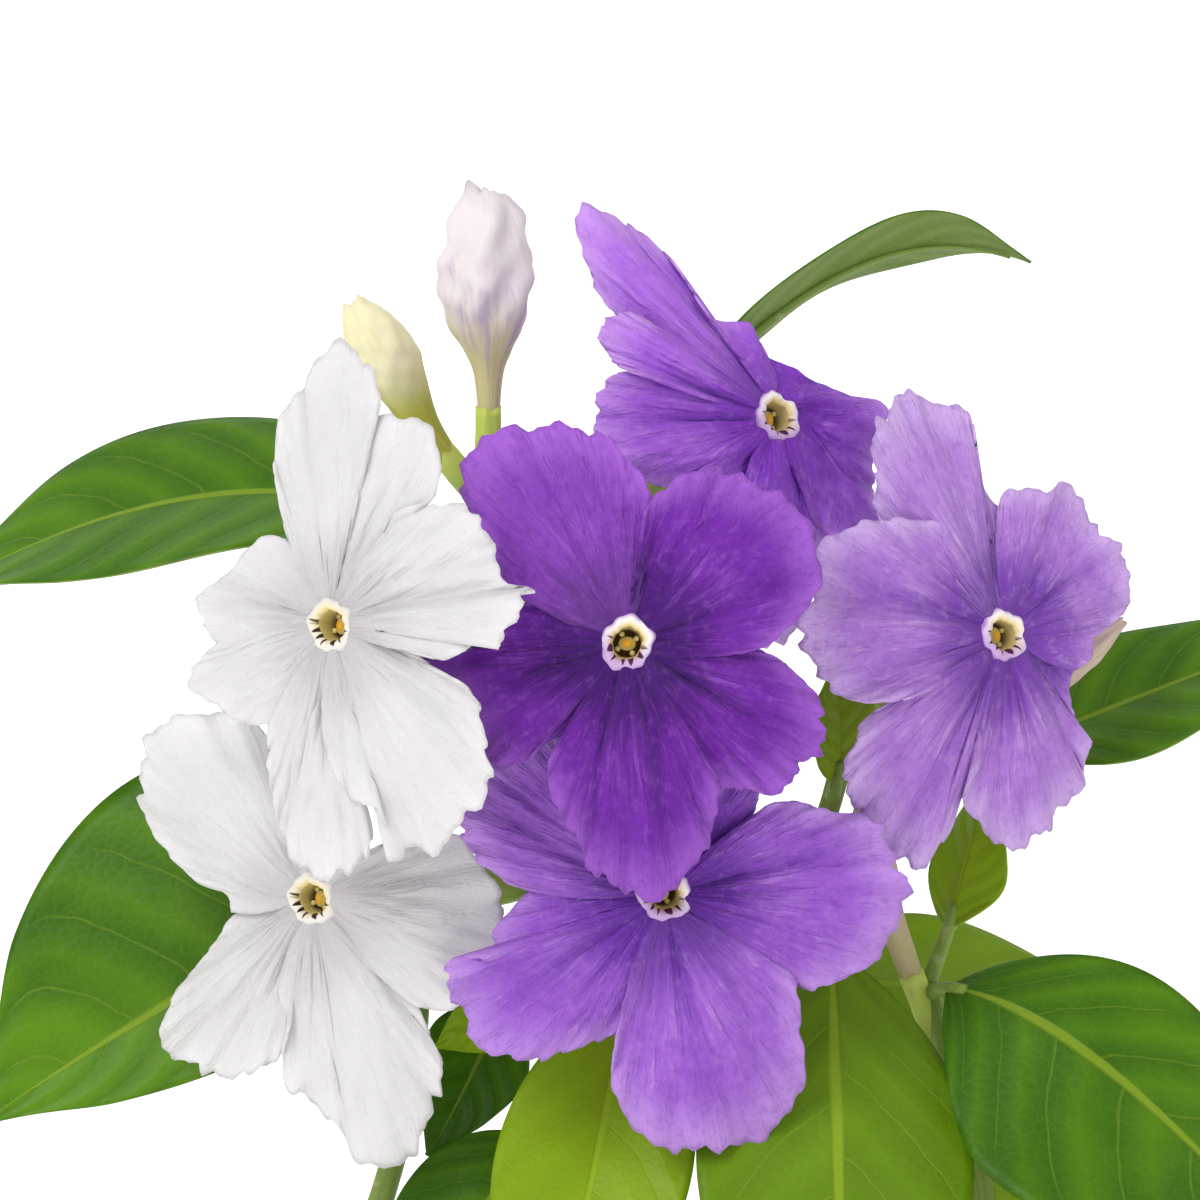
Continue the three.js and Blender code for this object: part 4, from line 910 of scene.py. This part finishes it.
# %% The blooms
# throat and joint as seen, turn to the right and rise in degrees; finish where it isn't the petal's
BLOOMS = {
    "deep_violet": {"throat": [3.4, -5.4, -32], "turn": 0, "rise": 2, "lobes": DEEP_VIOLET,
                    "petal": "petal_deep_violet", "stem": "centre", "joint": [-4.5, -8, 8]},
    "white_left": {"throat": [-33.5, -3.2, -28], "turn": -37, "rise": 2, "lobes": LEFT_WHITE,
                   "petal": "petal_white", "stem": "centre", "joint": [-5, -6, 8]},
    "white_low": {"throat": [-35.9, -37.4, -4], "turn": -30, "rise": 0, "lobes": LOW_WHITE,
                  "petal": "petal_white", "stem": "centre", "joint": [-6, -34, 13]},
    "violet_low": {"throat": [8, -36.8, -22], "turn": 6, "rise": -6, "lobes": LOW_VIOLET,
                   "petal": "petal_violet", "stem": "centre", "joint": [-5, -26, 12]},
    "violet_top": {"throat": [22.1, 22.9, -8], "turn": 36, "rise": 8, "lobes": TOP_VIOLET,
                   # its finish is petal_violet made lighter: painted light
                   "petal": "petal_violet", "finish": "petal_violet_painted_lit", "stem": "centre",
                   "joint": [-3, 1, 12]},
    "lavender": {"throat": [50.4, -4.4, -8], "turn": 30, "rise": 3, "lobes": LAVENDER,
                 "petal": "petal_lavender", "stem": "right_branch", "joint": [34, -17, 17]},
    "back_violet": {"throat": [-14, -8, 52], "turn": -155, "rise": 6, "lobes": even_lobes(22, 54),
                    "petal": "petal_violet", "stem": "back", "joint": [2, -24, 26]},
    "back_lavender": {"throat": [16, 11, 58], "turn": 152, "rise": 10, "lobes": even_lobes(19, 60),
                      "petal": "petal_lavender", "stem": "back", "joint": [6, -18, 26]},
}
TUBE_LENGTH, STRAIGHT_SHARE = 22.0, 0.55
CALYX_SHARE = 0.24
CALYX_LENGTH = 12.0
SEAT_SHARE = 0.55


def cosines(angle, waves):
    """The sum of size · cos(count · angle + start) of the waves."""
    return sum(size * np.cos(count * angle + start) for size, count, start in waves)


def bloom_frame(bloom):
    """The throat, the way it faces, and how a step seen to the right or up runs in its plane: the
    step itself plus however far away the plane has moved there."""
    normal = facing(bloom["turn"], bloom["rise"])
    slope = AWAY @ normal
    return {"centre": seen(bloom["throat"]), "normal": normal,
            "right": ACROSS - AWAY * (ACROSS @ normal) / slope,
            "up": UPWARD - AWAY * (UPWARD @ normal) / slope,
            "toward": AWAY * np.sign(slope) / abs(slope)}


# %% One lobe of a bloom
LOBE_ROWS, LOBE_COLUMNS = 31, 81
ROOT_RADIUS = 2.4
REFLEX, REACH = 3.2, 24.0
RUFFLE, RUFFLES = 1.3, 2.5
FRILL, FRILLS = 0.7, 8.0
DOME, BILLOW, CRIMP = 0.5, 1.2, 0.32
SIDE_OVERLAP, OVERLAP_WIDTH = 0.7, 0.06
ROOT_THICKNESS, RIM_THICKNESS = 0.7, 0.35
# how much painted shade a fold's crease lays on the petal's colour
CREASE_SHADE = 0.55
FULL_RIM = 40.0


def nibbled(s, phase, calm):
    """1 plus three sines along the rim that leave its ends alone; the two finer ones come and go."""
    coarse = 0.018 * np.sin(31 * s + 3 * phase)
    fine = 0.02 * np.sin(73 * s + 5 * phase + 2 * np.sin(9 * s)) + 0.014 * np.sin(137 * s + 2 * phase)
    uneven = 0.35 + 0.65 * np.sin(6 * s + 2.3 * phase) ** 2
    return 1 + calm * np.sin(np.pi * s) ** 0.5 * (coarse + uneven * fine)


def lobe_lift(over, s, t, reach, phase, calm):
    """- reflex · (distance / reach)² + the overlap of its sides + ruffles that grow with t³ + a finer
    frill that grows with t to the power 6 + a dome + a billow that slants across."""
    inside = 4 * s * (1 - s)
    overlap = mix(over[0], over[1], s) * ease(1.4 * t)
    ruffle = calm * RUFFLE * t**3 * inside * np.sin(2 * np.pi * RUFFLES * s + phase)
    frill_turn = 2 * np.pi * FRILLS * s + 2 * phase + 2 * np.sin(5 * s)
    frill = calm * FRILL * t**6 * inside**0.5 * np.sin(frill_turn)
    dome = DOME * np.sin(np.pi * s) * np.sin(np.pi * t)
    billow_turn = 2 * np.pi * (1.2 * s + 0.5 * t) + 1.9 * phase
    billow = BILLOW * np.sin(np.pi * t**0.8) * inside * np.sin(billow_turn)
    return -REFLEX * (reach / REACH) ** 2 + overlap + ruffle + frill + dome + billow


def lobe_creases(folds, s, t):
    """The sum of a bell curve across the lobe for each fold, none of them at its root or its edge."""
    crease = np.zeros((LOBE_ROWS, LOBE_COLUMNS, 1))
    for where, depth, width in folds:
        crease += depth * np.exp(-(((s - where) / width) ** 2)) * np.sin(np.pi * t**0.7)
    return crease


def lobe_wrinkles(s, t, phase):
    """Two fine waves that wander along the lobe, a crimp that grows with t to the power 4, and a
    shallow quilting."""
    inside = 4 * s * (1 - s)
    wander = 3 * np.sin(4 * t + phase) + 1.5 * np.sin(9 * t + 7 * s)
    fine = (0.1 * np.sin(74 * s + wander) + 0.13 * np.sin(41 * s - wander)) * inside * ease(3 * t)
    crimp = CRIMP * t**4 * inside**0.5 * np.sin(88 * s + 4 * np.sin(7 * s + phase) + 2 * t)
    quilt = 0.16 * np.sin(19 * s + 2 * phase) * np.sin(13 * t + 5 * np.sin(6 * s)) * inside * t
    return fine + crimp + quilt


def lobe_shape(space, drawn, phase):
    """From a share of the eye to the drawn edge, moved along the view by the lift, less the creases,
    plus the wrinkles. A lobe with a short rim has as much less of the ruffles, the wrinkles and the
    veins."""
    s = np.linspace(0, 1, LOBE_COLUMNS)[None, :, None]
    t = np.linspace(0, 1, LOBE_ROWS)[:, None, None]
    rim = smooth_route(drawn["edge"], LOBE_COLUMNS)
    calm = min(1.0, np.linalg.norm(np.diff(rim, axis=0), axis=1).sum() / FULL_RIM)
    flat = rim[:, :1] * space["right"] + rim[:, 1:] * space["up"]
    first, last = unit(flat[0]), unit(flat[-1])
    sweep = np.arccos(first @ last)
    root = (np.sin(sweep * (1 - s)) * first + np.sin(sweep * s) * last) / np.sin(sweep) * ROOT_RADIUS
    before, after = unit(first * (first @ last) - last), unit(last * (first @ last) - first)
    overlap = before * np.exp(-s / OVERLAP_WIDTH) + after * np.exp((s - 1) / OVERLAP_WIDTH)
    place = mix(root, flat[None] * nibbled(s, phase, calm), t)
    place = place + SIDE_OVERLAP * np.sin(np.pi * t) * overlap
    reach = np.linalg.norm(place, axis=-1, keepdims=True)
    crease = lobe_creases(drawn["folds"], s, t)
    lift = lobe_lift(drawn["over"], s, t, reach, phase, calm)
    moved = lift - crease + calm * lobe_wrinkles(s, t, phase)
    grid = space["centre"] + place + space["toward"] * moved
    uv = np.stack(np.broadcast_arrays(calm * s[..., 0], t[..., 0]), -1)
    thickness = mix(ROOT_THICKNESS, RIM_THICKNESS, t[..., 0])
    # painted shade: each fold's crease deepens the colour, on top of the lobe's shade number
    shade = drawn["shade"] + CREASE_SHADE * crease[..., 0]
    return sheet(grid, thickness, uv, reach=reach[..., 0], shade=shade)


print("a lobe of", LOBE_ROWS, "by", LOBE_COLUMNS, "places")

# %% The eye
EYE_PROFILE = np.array([[0, -8.6], [2.1, -8.4], [2.3, -4], [2.7, -1.5], [3.2, -0.7], [3.4, -0.1],
                        [3.2, 0.42], [2.85, 0.66], [2.45, 0.66], [2.15, 0.48], [1.95, 0.15],
                        [1.82, -0.3], [1.75, -1.2], [1.68, -2.4], [1.5, -3.6], [0, -3.8]])
EYE_SIDES, RING_RADIUS = 60, 3.4
WELL_DEPTH, WELL_FOOT, WELL_MARK, LIP_ROWS = 3.8, 8.0, 0.44, 3
# size, count and start of each wave round the ring
SCALLOPS = ((0.045, 5, 0), (0.06, 2, 1), (0.03, 11, 2))
TILTS = ((0.16, 5, 1), (0.14, 1, 0))


def eye_shape(space):
    """A raised ring round a well, scalloped and tilted by cosines of the angle. Its UV map is 1
    outside, its radius share on top, and falls to 0 at the well's floor."""
    centre, normal = space["centre"], space["normal"]
    radius, height = EYE_PROFILE.T
    well = np.arange(len(radius)) > np.argmax(height) + LIP_ROWS
    sunk = WELL_MARK * (1 + height.clip(-WELL_DEPTH, 0) / WELL_DEPTH)
    inward = np.where(well, sunk, radius / RING_RADIUS)
    inward[:np.argmax(radius)] = 1
    ring = turned(EYE_PROFILE, centre, normal, EYE_SIDES, 1, inward)
    away = ring["points"] - centre
    height = away @ normal
    radial = away - height[:, None] * normal
    angle = 2 * np.pi * ring["uv"][:, 0]
    waves = ease((height + 2.5) / 2.5) * cosines(angle, SCALLOPS)
    lift = ease((height + 0.6) / 1.2) * cosines(angle, TILTS)
    ring["points"] = centre + radial * (1 + waves)[:, None] + (height + lift)[:, None] * normal
    low = 0.45 - 0.7 * (radial @ UPWARD + 0.35 * radial @ ACROSS) / RING_RADIUS
    ring["marks"] = {"shade": ease(low)}
    return ring


print("an eye ring of", EYE_SIDES, "sides")

# %% The tube
TUBE_PLACES, TUBE_SIDES, TUBE_TOP, TUBE_FOOT = 30, 20, 2.2, 1.5


def tube_route(bloom, space):
    """Straight back from the throat, then bent over to the calyx, which points at the joint."""
    centre, normal = space["centre"], space["normal"]
    joint = nearest_on_stem(bloom["stem"], bloom["joint"])
    back = centre - normal * TUBE_LENGTH * STRAIGHT_SHARE
    turning = centre - normal * TUBE_LENGTH
    mouth = mix(turning, joint, CALYX_SHARE)
    foot = mouth + unit(joint - mouth) * CALYX_LENGTH
    seat = mix(mouth, foot, SEAT_SHARE)
    return {"route": [centre - normal * WELL_FOOT, back, turning, mouth, seat],
            "mouth": mouth, "foot": foot, "joint": joint}


def corolla_tube(route):
    """A tube that narrows with soft ends from the throat down to its seat in the calyx."""
    t = np.linspace(0, 1, TUBE_PLACES)
    radius = mix(TUBE_TOP, TUBE_FOOT, ease(1.4 * t))
    return tube(smooth_route(route, TUBE_PLACES), radius, TUBE_SIDES, 2, shade=1.0)


print("a tube reaches", TUBE_LENGTH, "mm back from its throat")

# %% The pistil
STYLE_PLACES, STYLE_SIDES, STYLE_FOOT, STYLE_TIP = 30, 20, -7.2, -1.3
STYLE_RADIUS, HEAD_SWELL, HEAD_SHARE, HEAD_WIDTH = 0.35, 0.62, 0.9, 0.07
ANTHERS, ANTHER_TURN, FILAMENT_PLACES, FILAMENT_SIDES = 4, 0.5, 10, 8
# how far out from the style and how far back from the eye
FILAMENT = ((1.2, 6), (1.35, 3), (1.3, 1.8))


def pistil_shape(space):
    """A cup on its style, with four small anthers on thin filaments standing round it."""
    centre, normal = space["centre"], space["normal"]
    t = np.linspace(0, 1, STYLE_PLACES)
    angle = np.linspace(0, 2 * np.pi, STYLE_SIDES, endpoint=False)
    style = centre + normal * mix(STYLE_FOOT, STYLE_TIP, t)[:, None]
    head = STYLE_RADIUS + HEAD_SWELL * np.exp(-(((t - HEAD_SHARE) / HEAD_WIDTH) ** 2))
    lips = 1 + 0.15 * ease(3 * t - 2)[:, None] * np.cos(2 * angle)
    shapes = [tube(style, head[:, None] * lips, STYLE_SIDES, shade=1.0)]
    across = unit(np.cross(normal, RISE))
    swelling = 0.14 + 0.2 * ease(np.linspace(-2, 1, FILAMENT_PLACES))
    for turn in np.arange(ANTHERS) * 2 * np.pi / ANTHERS + ANTHER_TURN:
        side = across * np.cos(turn) + np.cross(normal, across) * np.sin(turn)
        route = smooth_route([centre + side * out - normal * back for out, back in FILAMENT],
                             FILAMENT_PLACES)
        shapes.append(tube(route, swelling, FILAMENT_SIDES))
    return shapes


print("anthers round each style:", ANTHERS)

# %% The calyx, and all the blooms
CALYX_PLACES, CALYX_SIDES, TEETH = 14, 40, 5
FULL_CUP, TOOTH, RIB = 3.1, 2.4, 0.05
STALK_RADIUS, STALK_PLACES, STALK_SIDES, STALK_START = 1.05, 16, 12, 0.15


def calyx_shapes(places, cup_radius=FULL_CUP, young=0.3):
    """A cup whose belly is a sine, with five teeth round its mouth, on a slender stalk. young is how
    yellow green the mouth is."""
    mouth, foot, joint = places["mouth"], places["foot"], places["joint"]
    t = np.linspace(0, 1, CALYX_PLACES)
    belly = STALK_RADIUS + (cup_radius - STALK_RADIUS) * np.sin(np.minimum(1, 0.25 + t) * 2.2)
    tooth_share = np.arange(CALYX_SIDES) / CALYX_SIDES * TEETH % 1
    teeth = TOOTH * (cup_radius / FULL_CUP) ** 3 * (1 - np.abs(2 * tooth_share - 1)) ** 1.3
    ribs = 1 + RIB * np.cos(2 * np.pi * (tooth_share - 0.5)) * t[:, None]
    cup = tube(mix(foot, mouth, t[:, None]), belly[:, None] * ribs, CALYX_SIDES, STALK, rim=teeth,
               shade=-young * ease(1.5 * t))
    route = smooth_route([mix(foot, mouth, STALK_START), foot, joint], STALK_PLACES)
    return [cup, tube(route, STALK_RADIUS, STALK_SIDES, STALK)]


for n, (name, bloom) in enumerate(BLOOMS.items()):
    space = bloom_frame(bloom)
    shapes = [lobe_shape(space, drawn, 0.9 * n + 1.7 * m) for m, drawn in enumerate(bloom["lobes"])]
    places = tube_route(bloom, space)
    shapes += [eye_shape(space), corolla_tube(places["route"])]
    eye = white_eye if bloom["petal"] == "petal_white" else violet_eye
    petal = petals[bloom.get("finish", bloom["petal"])]
    add_piece("corolla_" + name, shapes, [petal, eye, lilac_bud], ["bloom_" + name])
    add_piece("stigma_" + name, pistil_shape(space), [stigma], ["pistil_" + name])
    foliage[bloom["stem"]] += calyx_shapes(places)

# %% [markdown]
# ## Buds
#
# A bud is a furled corolla: a swollen head, twisted in soft folds, on the same slender tube. Its
# radius at even steps from the tip is drawn, and folds that wind round it a little push the
# surface in and out.

# %% Furled buds
# the route runs from the tip down, with the calyx's mouth last but one; folds are count, depth, twist
BUDS = {
    "cream": {"stem": "centre", "joint": [-5, -3, 8], "finish": cream_bud, "slot": "bud_cream",
              "route": [[-30.8, 36.8, 0], [-27.6, 32, 1], [-24.7, 26.7, 2], [-21.8, 21.2, 3],
                        [-19.4, 18.2, 3.5]],
              "radii": [1.7, 3.0, 3.8, 4.1, 3.8, 3.2, 2.7, 2.3, 2.0, 1.7, 1.5], "folds": (3, 0.06, 2.5)},
    "lilac": {"stem": "centre", "joint": [-4, 0, 9], "finish": lilac_bud, "slot": "bud_lilac",
              "route": [[-14.4, 51, 2], [-14.2, 40, 2], [-14, 32.4, 2], [-13.9, 23.9, 3],
                        [-13.9, 18.9, 4]],
              "radii": [2.4, 4.4, 5.0, 5.5, 5.4, 4.7, 3.0, 1.8, 1.46, 1.3, 1.3], "folds": (5, 0.12, 2)},
    "blush": {"stem": "right_branch", "joint": [36, -17, 18], "finish": blush_bud, "slot": "bud_lilac",
              "route": [[65.3, -2.6, 9], [61, -6.3, 9.4], [56.3, -10.2, 10], [51, -14.4, 10.8],
                        [47, -17.4, 11.6]],
              "radii": [0.7, 1.3, 1.8, 2.0, 2.0, 1.8, 1.6, 1.5, 1.5, 1.5, 1.5], "folds": (5, 0.08, 2)},
    "slim": {"stem": "right", "joint": [41, -51, 9], "finish": blush_bud, "slot": "bud_lilac",
             "route": [[32.6, -25, 7], [33.8, -31, 7.5], [35.4, -37, 8], [38.9, -46.8, 9],
                       [39.8, -49, 9.5]],
             "radii": [0.7, 1.9, 2.6, 2.7, 2.3, 1.9, 1.7, 1.6, 1.5, 1.5, 1.5], "folds": (5, 0.06, 2)},
}
BUD_PLACES, BUD_SIDES, RADIUS_PLACES = 70, 48, 400
BUD_CALYX, BUD_YOUNG, BUD_SEAT = 1.75, 0.9, 0.5
HEAD_END, HEAD_FADE = 0.66, 0.3
RAGGED = ((0.4, 1, 3), (0.2, 5, 0), (0.18, 9, 2))


def bud_shape(path, radii, folds):
    """Radius · (1 + depth · head · (cos(count · angle + twist · pi · t) + crumple)) along the path.
    head falls softly from 1 at the tip to 0 on the tube, and crumple is two sines that cross."""
    count, depth, twist = folds
    t = np.linspace(0, 1, BUD_PLACES)
    angle = np.linspace(0, 2 * np.pi, BUD_SIDES, endpoint=False)
    drawn = smooth_route(np.stack([np.linspace(0, 1, len(radii)), radii], -1), RADIUS_PLACES)
    radius = np.interp(t, drawn[:, 0], drawn[:, 1])
    head = ease((HEAD_END - t) / HEAD_FADE)
    down = t[:, None]
    crumple = 0.4 * np.sin(7 * angle + 31 * down) + 0.3 * np.sin(4 * angle - 47 * down)
    furled = depth * head[:, None] * (np.cos(count * angle + twist * np.pi * down) + crumple)
    skin = radius[:, None] * (1 + furled)
    ragged = radius[0] * cosines(angle, RAGGED)
    return tube(path[::-1], skin[::-1], BUD_SIDES, rim=ragged, shade=head[::-1])


for name, bud in BUDS.items():
    places = seen(bud["route"])
    mouth = places[-2]
    foot = mouth + unit(places[-1] - mouth) * CALYX_LENGTH
    path = smooth_route([*places[:-1], mix(mouth, foot, BUD_SEAT)], BUD_PLACES)
    shape = bud_shape(path, bud["radii"], bud["folds"])
    add_piece("furled_" + name, [shape], [bud["finish"]], ["bud_" + name])
    joint = nearest_on_stem(bud["stem"], bud["joint"])
    calyx = {"mouth": mouth, "foot": foot, "joint": joint}
    foliage[bud["stem"]] += calyx_shapes(calyx, BUD_CALYX, BUD_YOUNG)

# %% Leaves, stems and calyxes become one piece a stem
for key, shapes in foliage.items():
    add_piece("foliage_" + key, shapes, [leaf_top, leaf_back, stalk], ["leafy_stem_" + key])

# %% [markdown]
# ## Pot and soil
#
# The pot is a plain thrown clay pot with a collar. A spin of its profile gives it all at once, and
# faint rings left by the wheel come from a small sine on the radius. The soil is a mound of crumbs:
# a disc of places raised and lowered by a sum of sines that run in many directions.

# %% Clay and soil finishes
def clay_finish():
    """Fired clay in two tones, clouded with pale lime and specked with dark."""
    made = Finish("clay")
    place = made.object_place()
    cloud = made.noise(22.0, place, 5.0)
    speck = made.noise(900.0, place, 2.0)
    lime = made.step(made.noise(34.0, place, 6.0, 0.65), 0.56, 0.72)
    colour = made.layers(
        made.blend(cloud, tone(168, 88, 56), tone(196, 116, 78)),
        (made.times(lime, 0.35), tone(222, 184, 156)),
        (made.times(made.step(speck, 0.62, 0.72), 0.4), tone(120, 60, 40)))
    return made.skin(colour, 0.85, 0.25, made.bump(made.plus(speck, cloud), 0.35, 0.0006))


def soil_finish():
    """Dark crumbs in two tones, with a few pale grains."""
    made = Finish("soil")
    place = made.object_place()
    crumbs = made.node("TexVoronoi", {"Vector": place, "Scale": 340.0})
    tint = made.noise(260.0, place, 4.0)
    grains = made.step(made.noise(210.0, place, 1.0), 0.68, 0.72)
    colour = made.layers(made.blend(tint, tone(34, 24, 18), tone(92, 70, 52)),
                         (grains, tone(206, 200, 186)))
    return made.skin(colour, 0.95, 0.15, made.bump(made.plus(crumbs, tint), 0.9, 0.0016))


clay, soil = clay_finish(), soil_finish()
print("finishes:", clay.name, soil.name)

# %% The pot
POT_HEIGHT, POT_FOOT, POT_MOUTH, POT_WALL, POT_FLOOR, POT_SIDES = 125.0, 49.0, 70.0, 5.5, 8.0, 144
COLLAR_HEIGHT, COLLAR_STEP, CAVITY_FLARE = 27.0, 4.0, 2.0
COLLAR_FOOT = POT_HEIGHT - COLLAR_HEIGHT
DRAIN_RADIUS, DRAIN_CIRCLE, DRAIN_COUNT, DRAIN_SIDES = 4.5, 27.0, 3, 32
WHEEL_MARK, WHEEL_PACE = 0.12, 1.1


def outer_radius(z):
    """Foot radius plus an even taper up to the collar's foot."""
    return POT_FOOT + (POT_MOUTH - COLLAR_STEP - POT_FOOT) * np.minimum(z, COLLAR_FOOT) / COLLAR_FOOT


def cavity_radius(z):
    """Outer radius less the wall, opening out a little in the collar."""
    return outer_radius(z) - POT_WALL + CAVITY_FLARE * np.maximum(0, z - COLLAR_FOOT) / COLLAR_HEIGHT


body = np.linspace(2, COLLAR_FOOT - 0.5, 60)
wheel_marks = WHEEL_MARK * np.sin(WHEEL_PACE * body)
inside = np.linspace(POT_HEIGHT - 1.2, POT_FLOOR + 1, 30)
collar = np.array([[POT_MOUTH - 3.2, COLLAR_FOOT + 0.1], [POT_MOUTH - 1.2, COLLAR_FOOT + 0.6],
                   [POT_MOUTH - 0.5, COLLAR_FOOT + 2.2], [POT_MOUTH - 0.25, COLLAR_FOOT + 12],
                   [POT_MOUTH, POT_HEIGHT - 3.4], [POT_MOUTH - 0.4, POT_HEIGHT - 1.4],
                   [POT_MOUTH - 1.6, POT_HEIGHT - 0.3], [POT_MOUTH - 3, POT_HEIGHT],
                   [cavity_radius(POT_HEIGHT) + 1.5, POT_HEIGHT - 0.2]])
profile = np.concatenate([
    [[0, 0], [POT_FOOT - 1.4, 0], [POT_FOOT - 0.4, 0.6]],
    np.stack([outer_radius(body) - 0.15 + wheel_marks, body], -1), collar,
    np.stack([cavity_radius(inside), inside], -1),
    [[cavity_radius(POT_FLOOR) - 2, POT_FLOOR], [0, POT_FLOOR]]])
pot = add_piece("clay_pot", [turned(profile, np.zeros(3), RISE, POT_SIDES)], [clay], ["pot"])

# %% Its drain holes
hole = np.array([[0, -1], [DRAIN_RADIUS, -1], [DRAIN_RADIUS, POT_FLOOR + 1], [0, POT_FLOOR + 1]])
cutters = []
for turn in 2 * np.pi * (np.arange(DRAIN_COUNT) + 0.25) / DRAIN_COUNT:
    middle = np.array([np.cos(turn), np.sin(turn), 0]) * DRAIN_CIRCLE
    cutters.append(turned(hole, middle, RISE, DRAIN_SIDES))

cutter = mesh_object("drain_cutter", cutters)
drill = pot.modifiers.new("drain holes", "BOOLEAN")
drill.operation = "DIFFERENCE"
drill.solver = "EXACT"
drill.object = cutter
drilled = bpy.data.meshes.new_from_object(pot.evaluated_get(bpy.context.evaluated_depsgraph_get()))
pot.modifiers.clear()
pot.data = drilled
bpy.data.objects.remove(cutter)
print("the pot with its drain holes has", len(pot.data.polygons), "faces")

# %% The soil
SOIL_LEVEL, SOIL_MOUND, SEAT_GAP = 110.0, 5.0, 0.3
SOIL_RINGS, SOIL_SIDES = 90, 220
CRUMB_WAVES, CRUMB_EVENING = 26, 60


def crumb_height(x, y):
    """The sum of length · sin(2 pi · (x cos(turn) + y sin(turn)) / length + phase) over 60; the turns,
    lengths and phases come from one seeded draw."""
    draw = np.random.default_rng(5)
    turns = draw.uniform(0, 2 * np.pi, CRUMB_WAVES)
    lengths = draw.uniform(2.2, 11, CRUMB_WAVES)
    phases = draw.uniform(0, 6.3, CRUMB_WAVES)
    waves = [length * np.sin((x * np.cos(turn) + y * np.sin(turn)) * 2 * np.pi / length + phase)
             for turn, length, phase in zip(turns, lengths, phases)]
    return sum(waves) / CRUMB_EVENING


soil_edge = outer_radius(COLLAR_FOOT) - POT_WALL - SEAT_GAP
soil_foot = outer_radius(POT_FLOOR) - POT_WALL - SEAT_GAP
rings = np.linspace(soil_edge, 0.5, SOIL_RINGS)
mound = np.interp(rings, [0, 0.62 * soil_edge, soil_edge], [SOIL_MOUND, 0.6 * SOIL_MOUND, -1])
below = [[0, POT_FLOOR + SEAT_GAP], [soil_foot, POT_FLOOR + SEAT_GAP], [soil_edge, COLLAR_FOOT],
         [soil_edge, SOIL_LEVEL - 1.4]]
above = np.stack([rings, mound + SOIL_LEVEL], -1)
soil_profile = np.concatenate([below, above, [[0, SOIL_LEVEL + SOIL_MOUND]]])
plug = turned(soil_profile, np.zeros(3), RISE, SOIL_SIDES)
points = plug["points"]
inset = soil_edge - 0.5 - np.hypot(points[:, 0], points[:, 1])
loose = ease(inset / 3) * (points[:, 2] > SOIL_LEVEL - 1.2)
points[:, 2] += loose * crumb_height(points[:, 0], points[:, 1])
add_piece("potting_soil", [plug], [soil], ["soil"])

# %% [markdown]
# ## Floor, light and camera
#
# The plant stands on a plain pale floor that sweeps up behind it, so no edge shows. A white sky
# gives the soft light of a studio tent, one large lamp from the upper left gives the folds and
# veins their shade, and a weak one from the right fills them. The camera looks down five degrees at
# the middle of the flowers.

# %% Floor
FLOOR_NEAR, FLOOR_FAR, SWEEP, WALL_TOP, HALF_WIDTH = -2500.0, 1400.0, 700.0, 2600.0, 3000.0
turns = np.linspace(0, np.pi / 2, 24)
curve = np.concatenate([
    [[FLOOR_NEAR, 0]], np.stack([FLOOR_FAR + SWEEP * np.sin(turns), SWEEP * (1 - np.cos(turns))], -1),
    [[FLOOR_FAR + SWEEP, WALL_TOP]]])
width = np.array([-HALF_WIDTH, HALF_WIDTH])
floor_grid = np.stack([np.broadcast_to(width, (len(curve), 2)), np.repeat(curve[:, :1], 2, 1),
                       np.repeat(curve[:, 1:], 2, 1)], -1)
backdrop = bpy.data.meshes.new("floor")
backdrop.from_pydata((floor_grid.reshape(-1, 3) * MM).tolist(), [],
                     grid_quads(len(curve), 2)[:, ::-1].tolist())
backdrop.polygons.foreach_set("use_smooth", np.ones(len(backdrop.polygons), bool))
paper = Finish("pale_floor")
backdrop.materials.append(paper.skin(tone(250, 250, 250), 0.9, 0.1, **{
    "Emission Color": (1.0, 1.0, 1.0, 1.0), "Emission Strength": 0.42}))
floor = bpy.data.objects.new("floor", backdrop)
bpy.context.scene.collection.objects.link(floor)
print("the floor sweeps up", (FLOOR_FAR + SWEEP) * MM, "m behind the plant")

# %% Light
WORLD_LIGHT = 0.66
world = bpy.data.worlds.new("white tent")
world.use_nodes = True
sky = world.node_tree.nodes["Background"].inputs
sky["Color"].default_value = (1.0, 1.0, 1.0, 1.0)
sky["Strength"].default_value = WORLD_LIGHT
bpy.context.scene.world = world
bpy.context.scene.view_settings.view_transform = "Standard"
bpy.context.scene.view_settings.look = "None"


def soft_lamp(name, place, aim, size, power):
    """A square lamp that faces its aim: its -Z axis is turned along the line between them."""
    lamp = bpy.data.lights.new(name, "AREA")
    lamp.size, lamp.energy = size, power
    made = bpy.data.objects.new(name, lamp)
    made.location = place
    made.rotation_euler = (Vector(aim) - Vector(place)).to_track_quat("-Z", "Y").to_euler()
    bpy.context.scene.collection.objects.link(made)


FLOWERS = (0, 0, 0.3)
soft_lamp("key", (-0.7, -0.9, 1.15), FLOWERS, size=0.8, power=11)
soft_lamp("fill", (1.1, -0.8, 0.6), FLOWERS, size=1.0, power=2.5)
print("lamps:", [item.name for item in bpy.data.lights])

# %% Camera
FIELD_WIDTH, SENSOR = 0.15, 36.0
camera = bpy.data.cameras.new("camera")
camera.sensor_width = SENSOR
camera.sensor_fit = "HORIZONTAL"
camera.lens = SENSOR * EYE_DISTANCE * MM / FIELD_WIDTH
camera.clip_start, camera.clip_end = 0.01, 20
viewer = bpy.data.objects.new("camera", camera)
viewer.location = (VIEW_CENTRE - AWAY * EYE_DISTANCE) * MM
viewer.rotation_euler = (np.pi / 2 - EYE_TILT, 0, 0)
bpy.context.scene.collection.objects.link(viewer)
bpy.context.scene.camera = viewer
print("the lens is", camera.lens, "mm long")
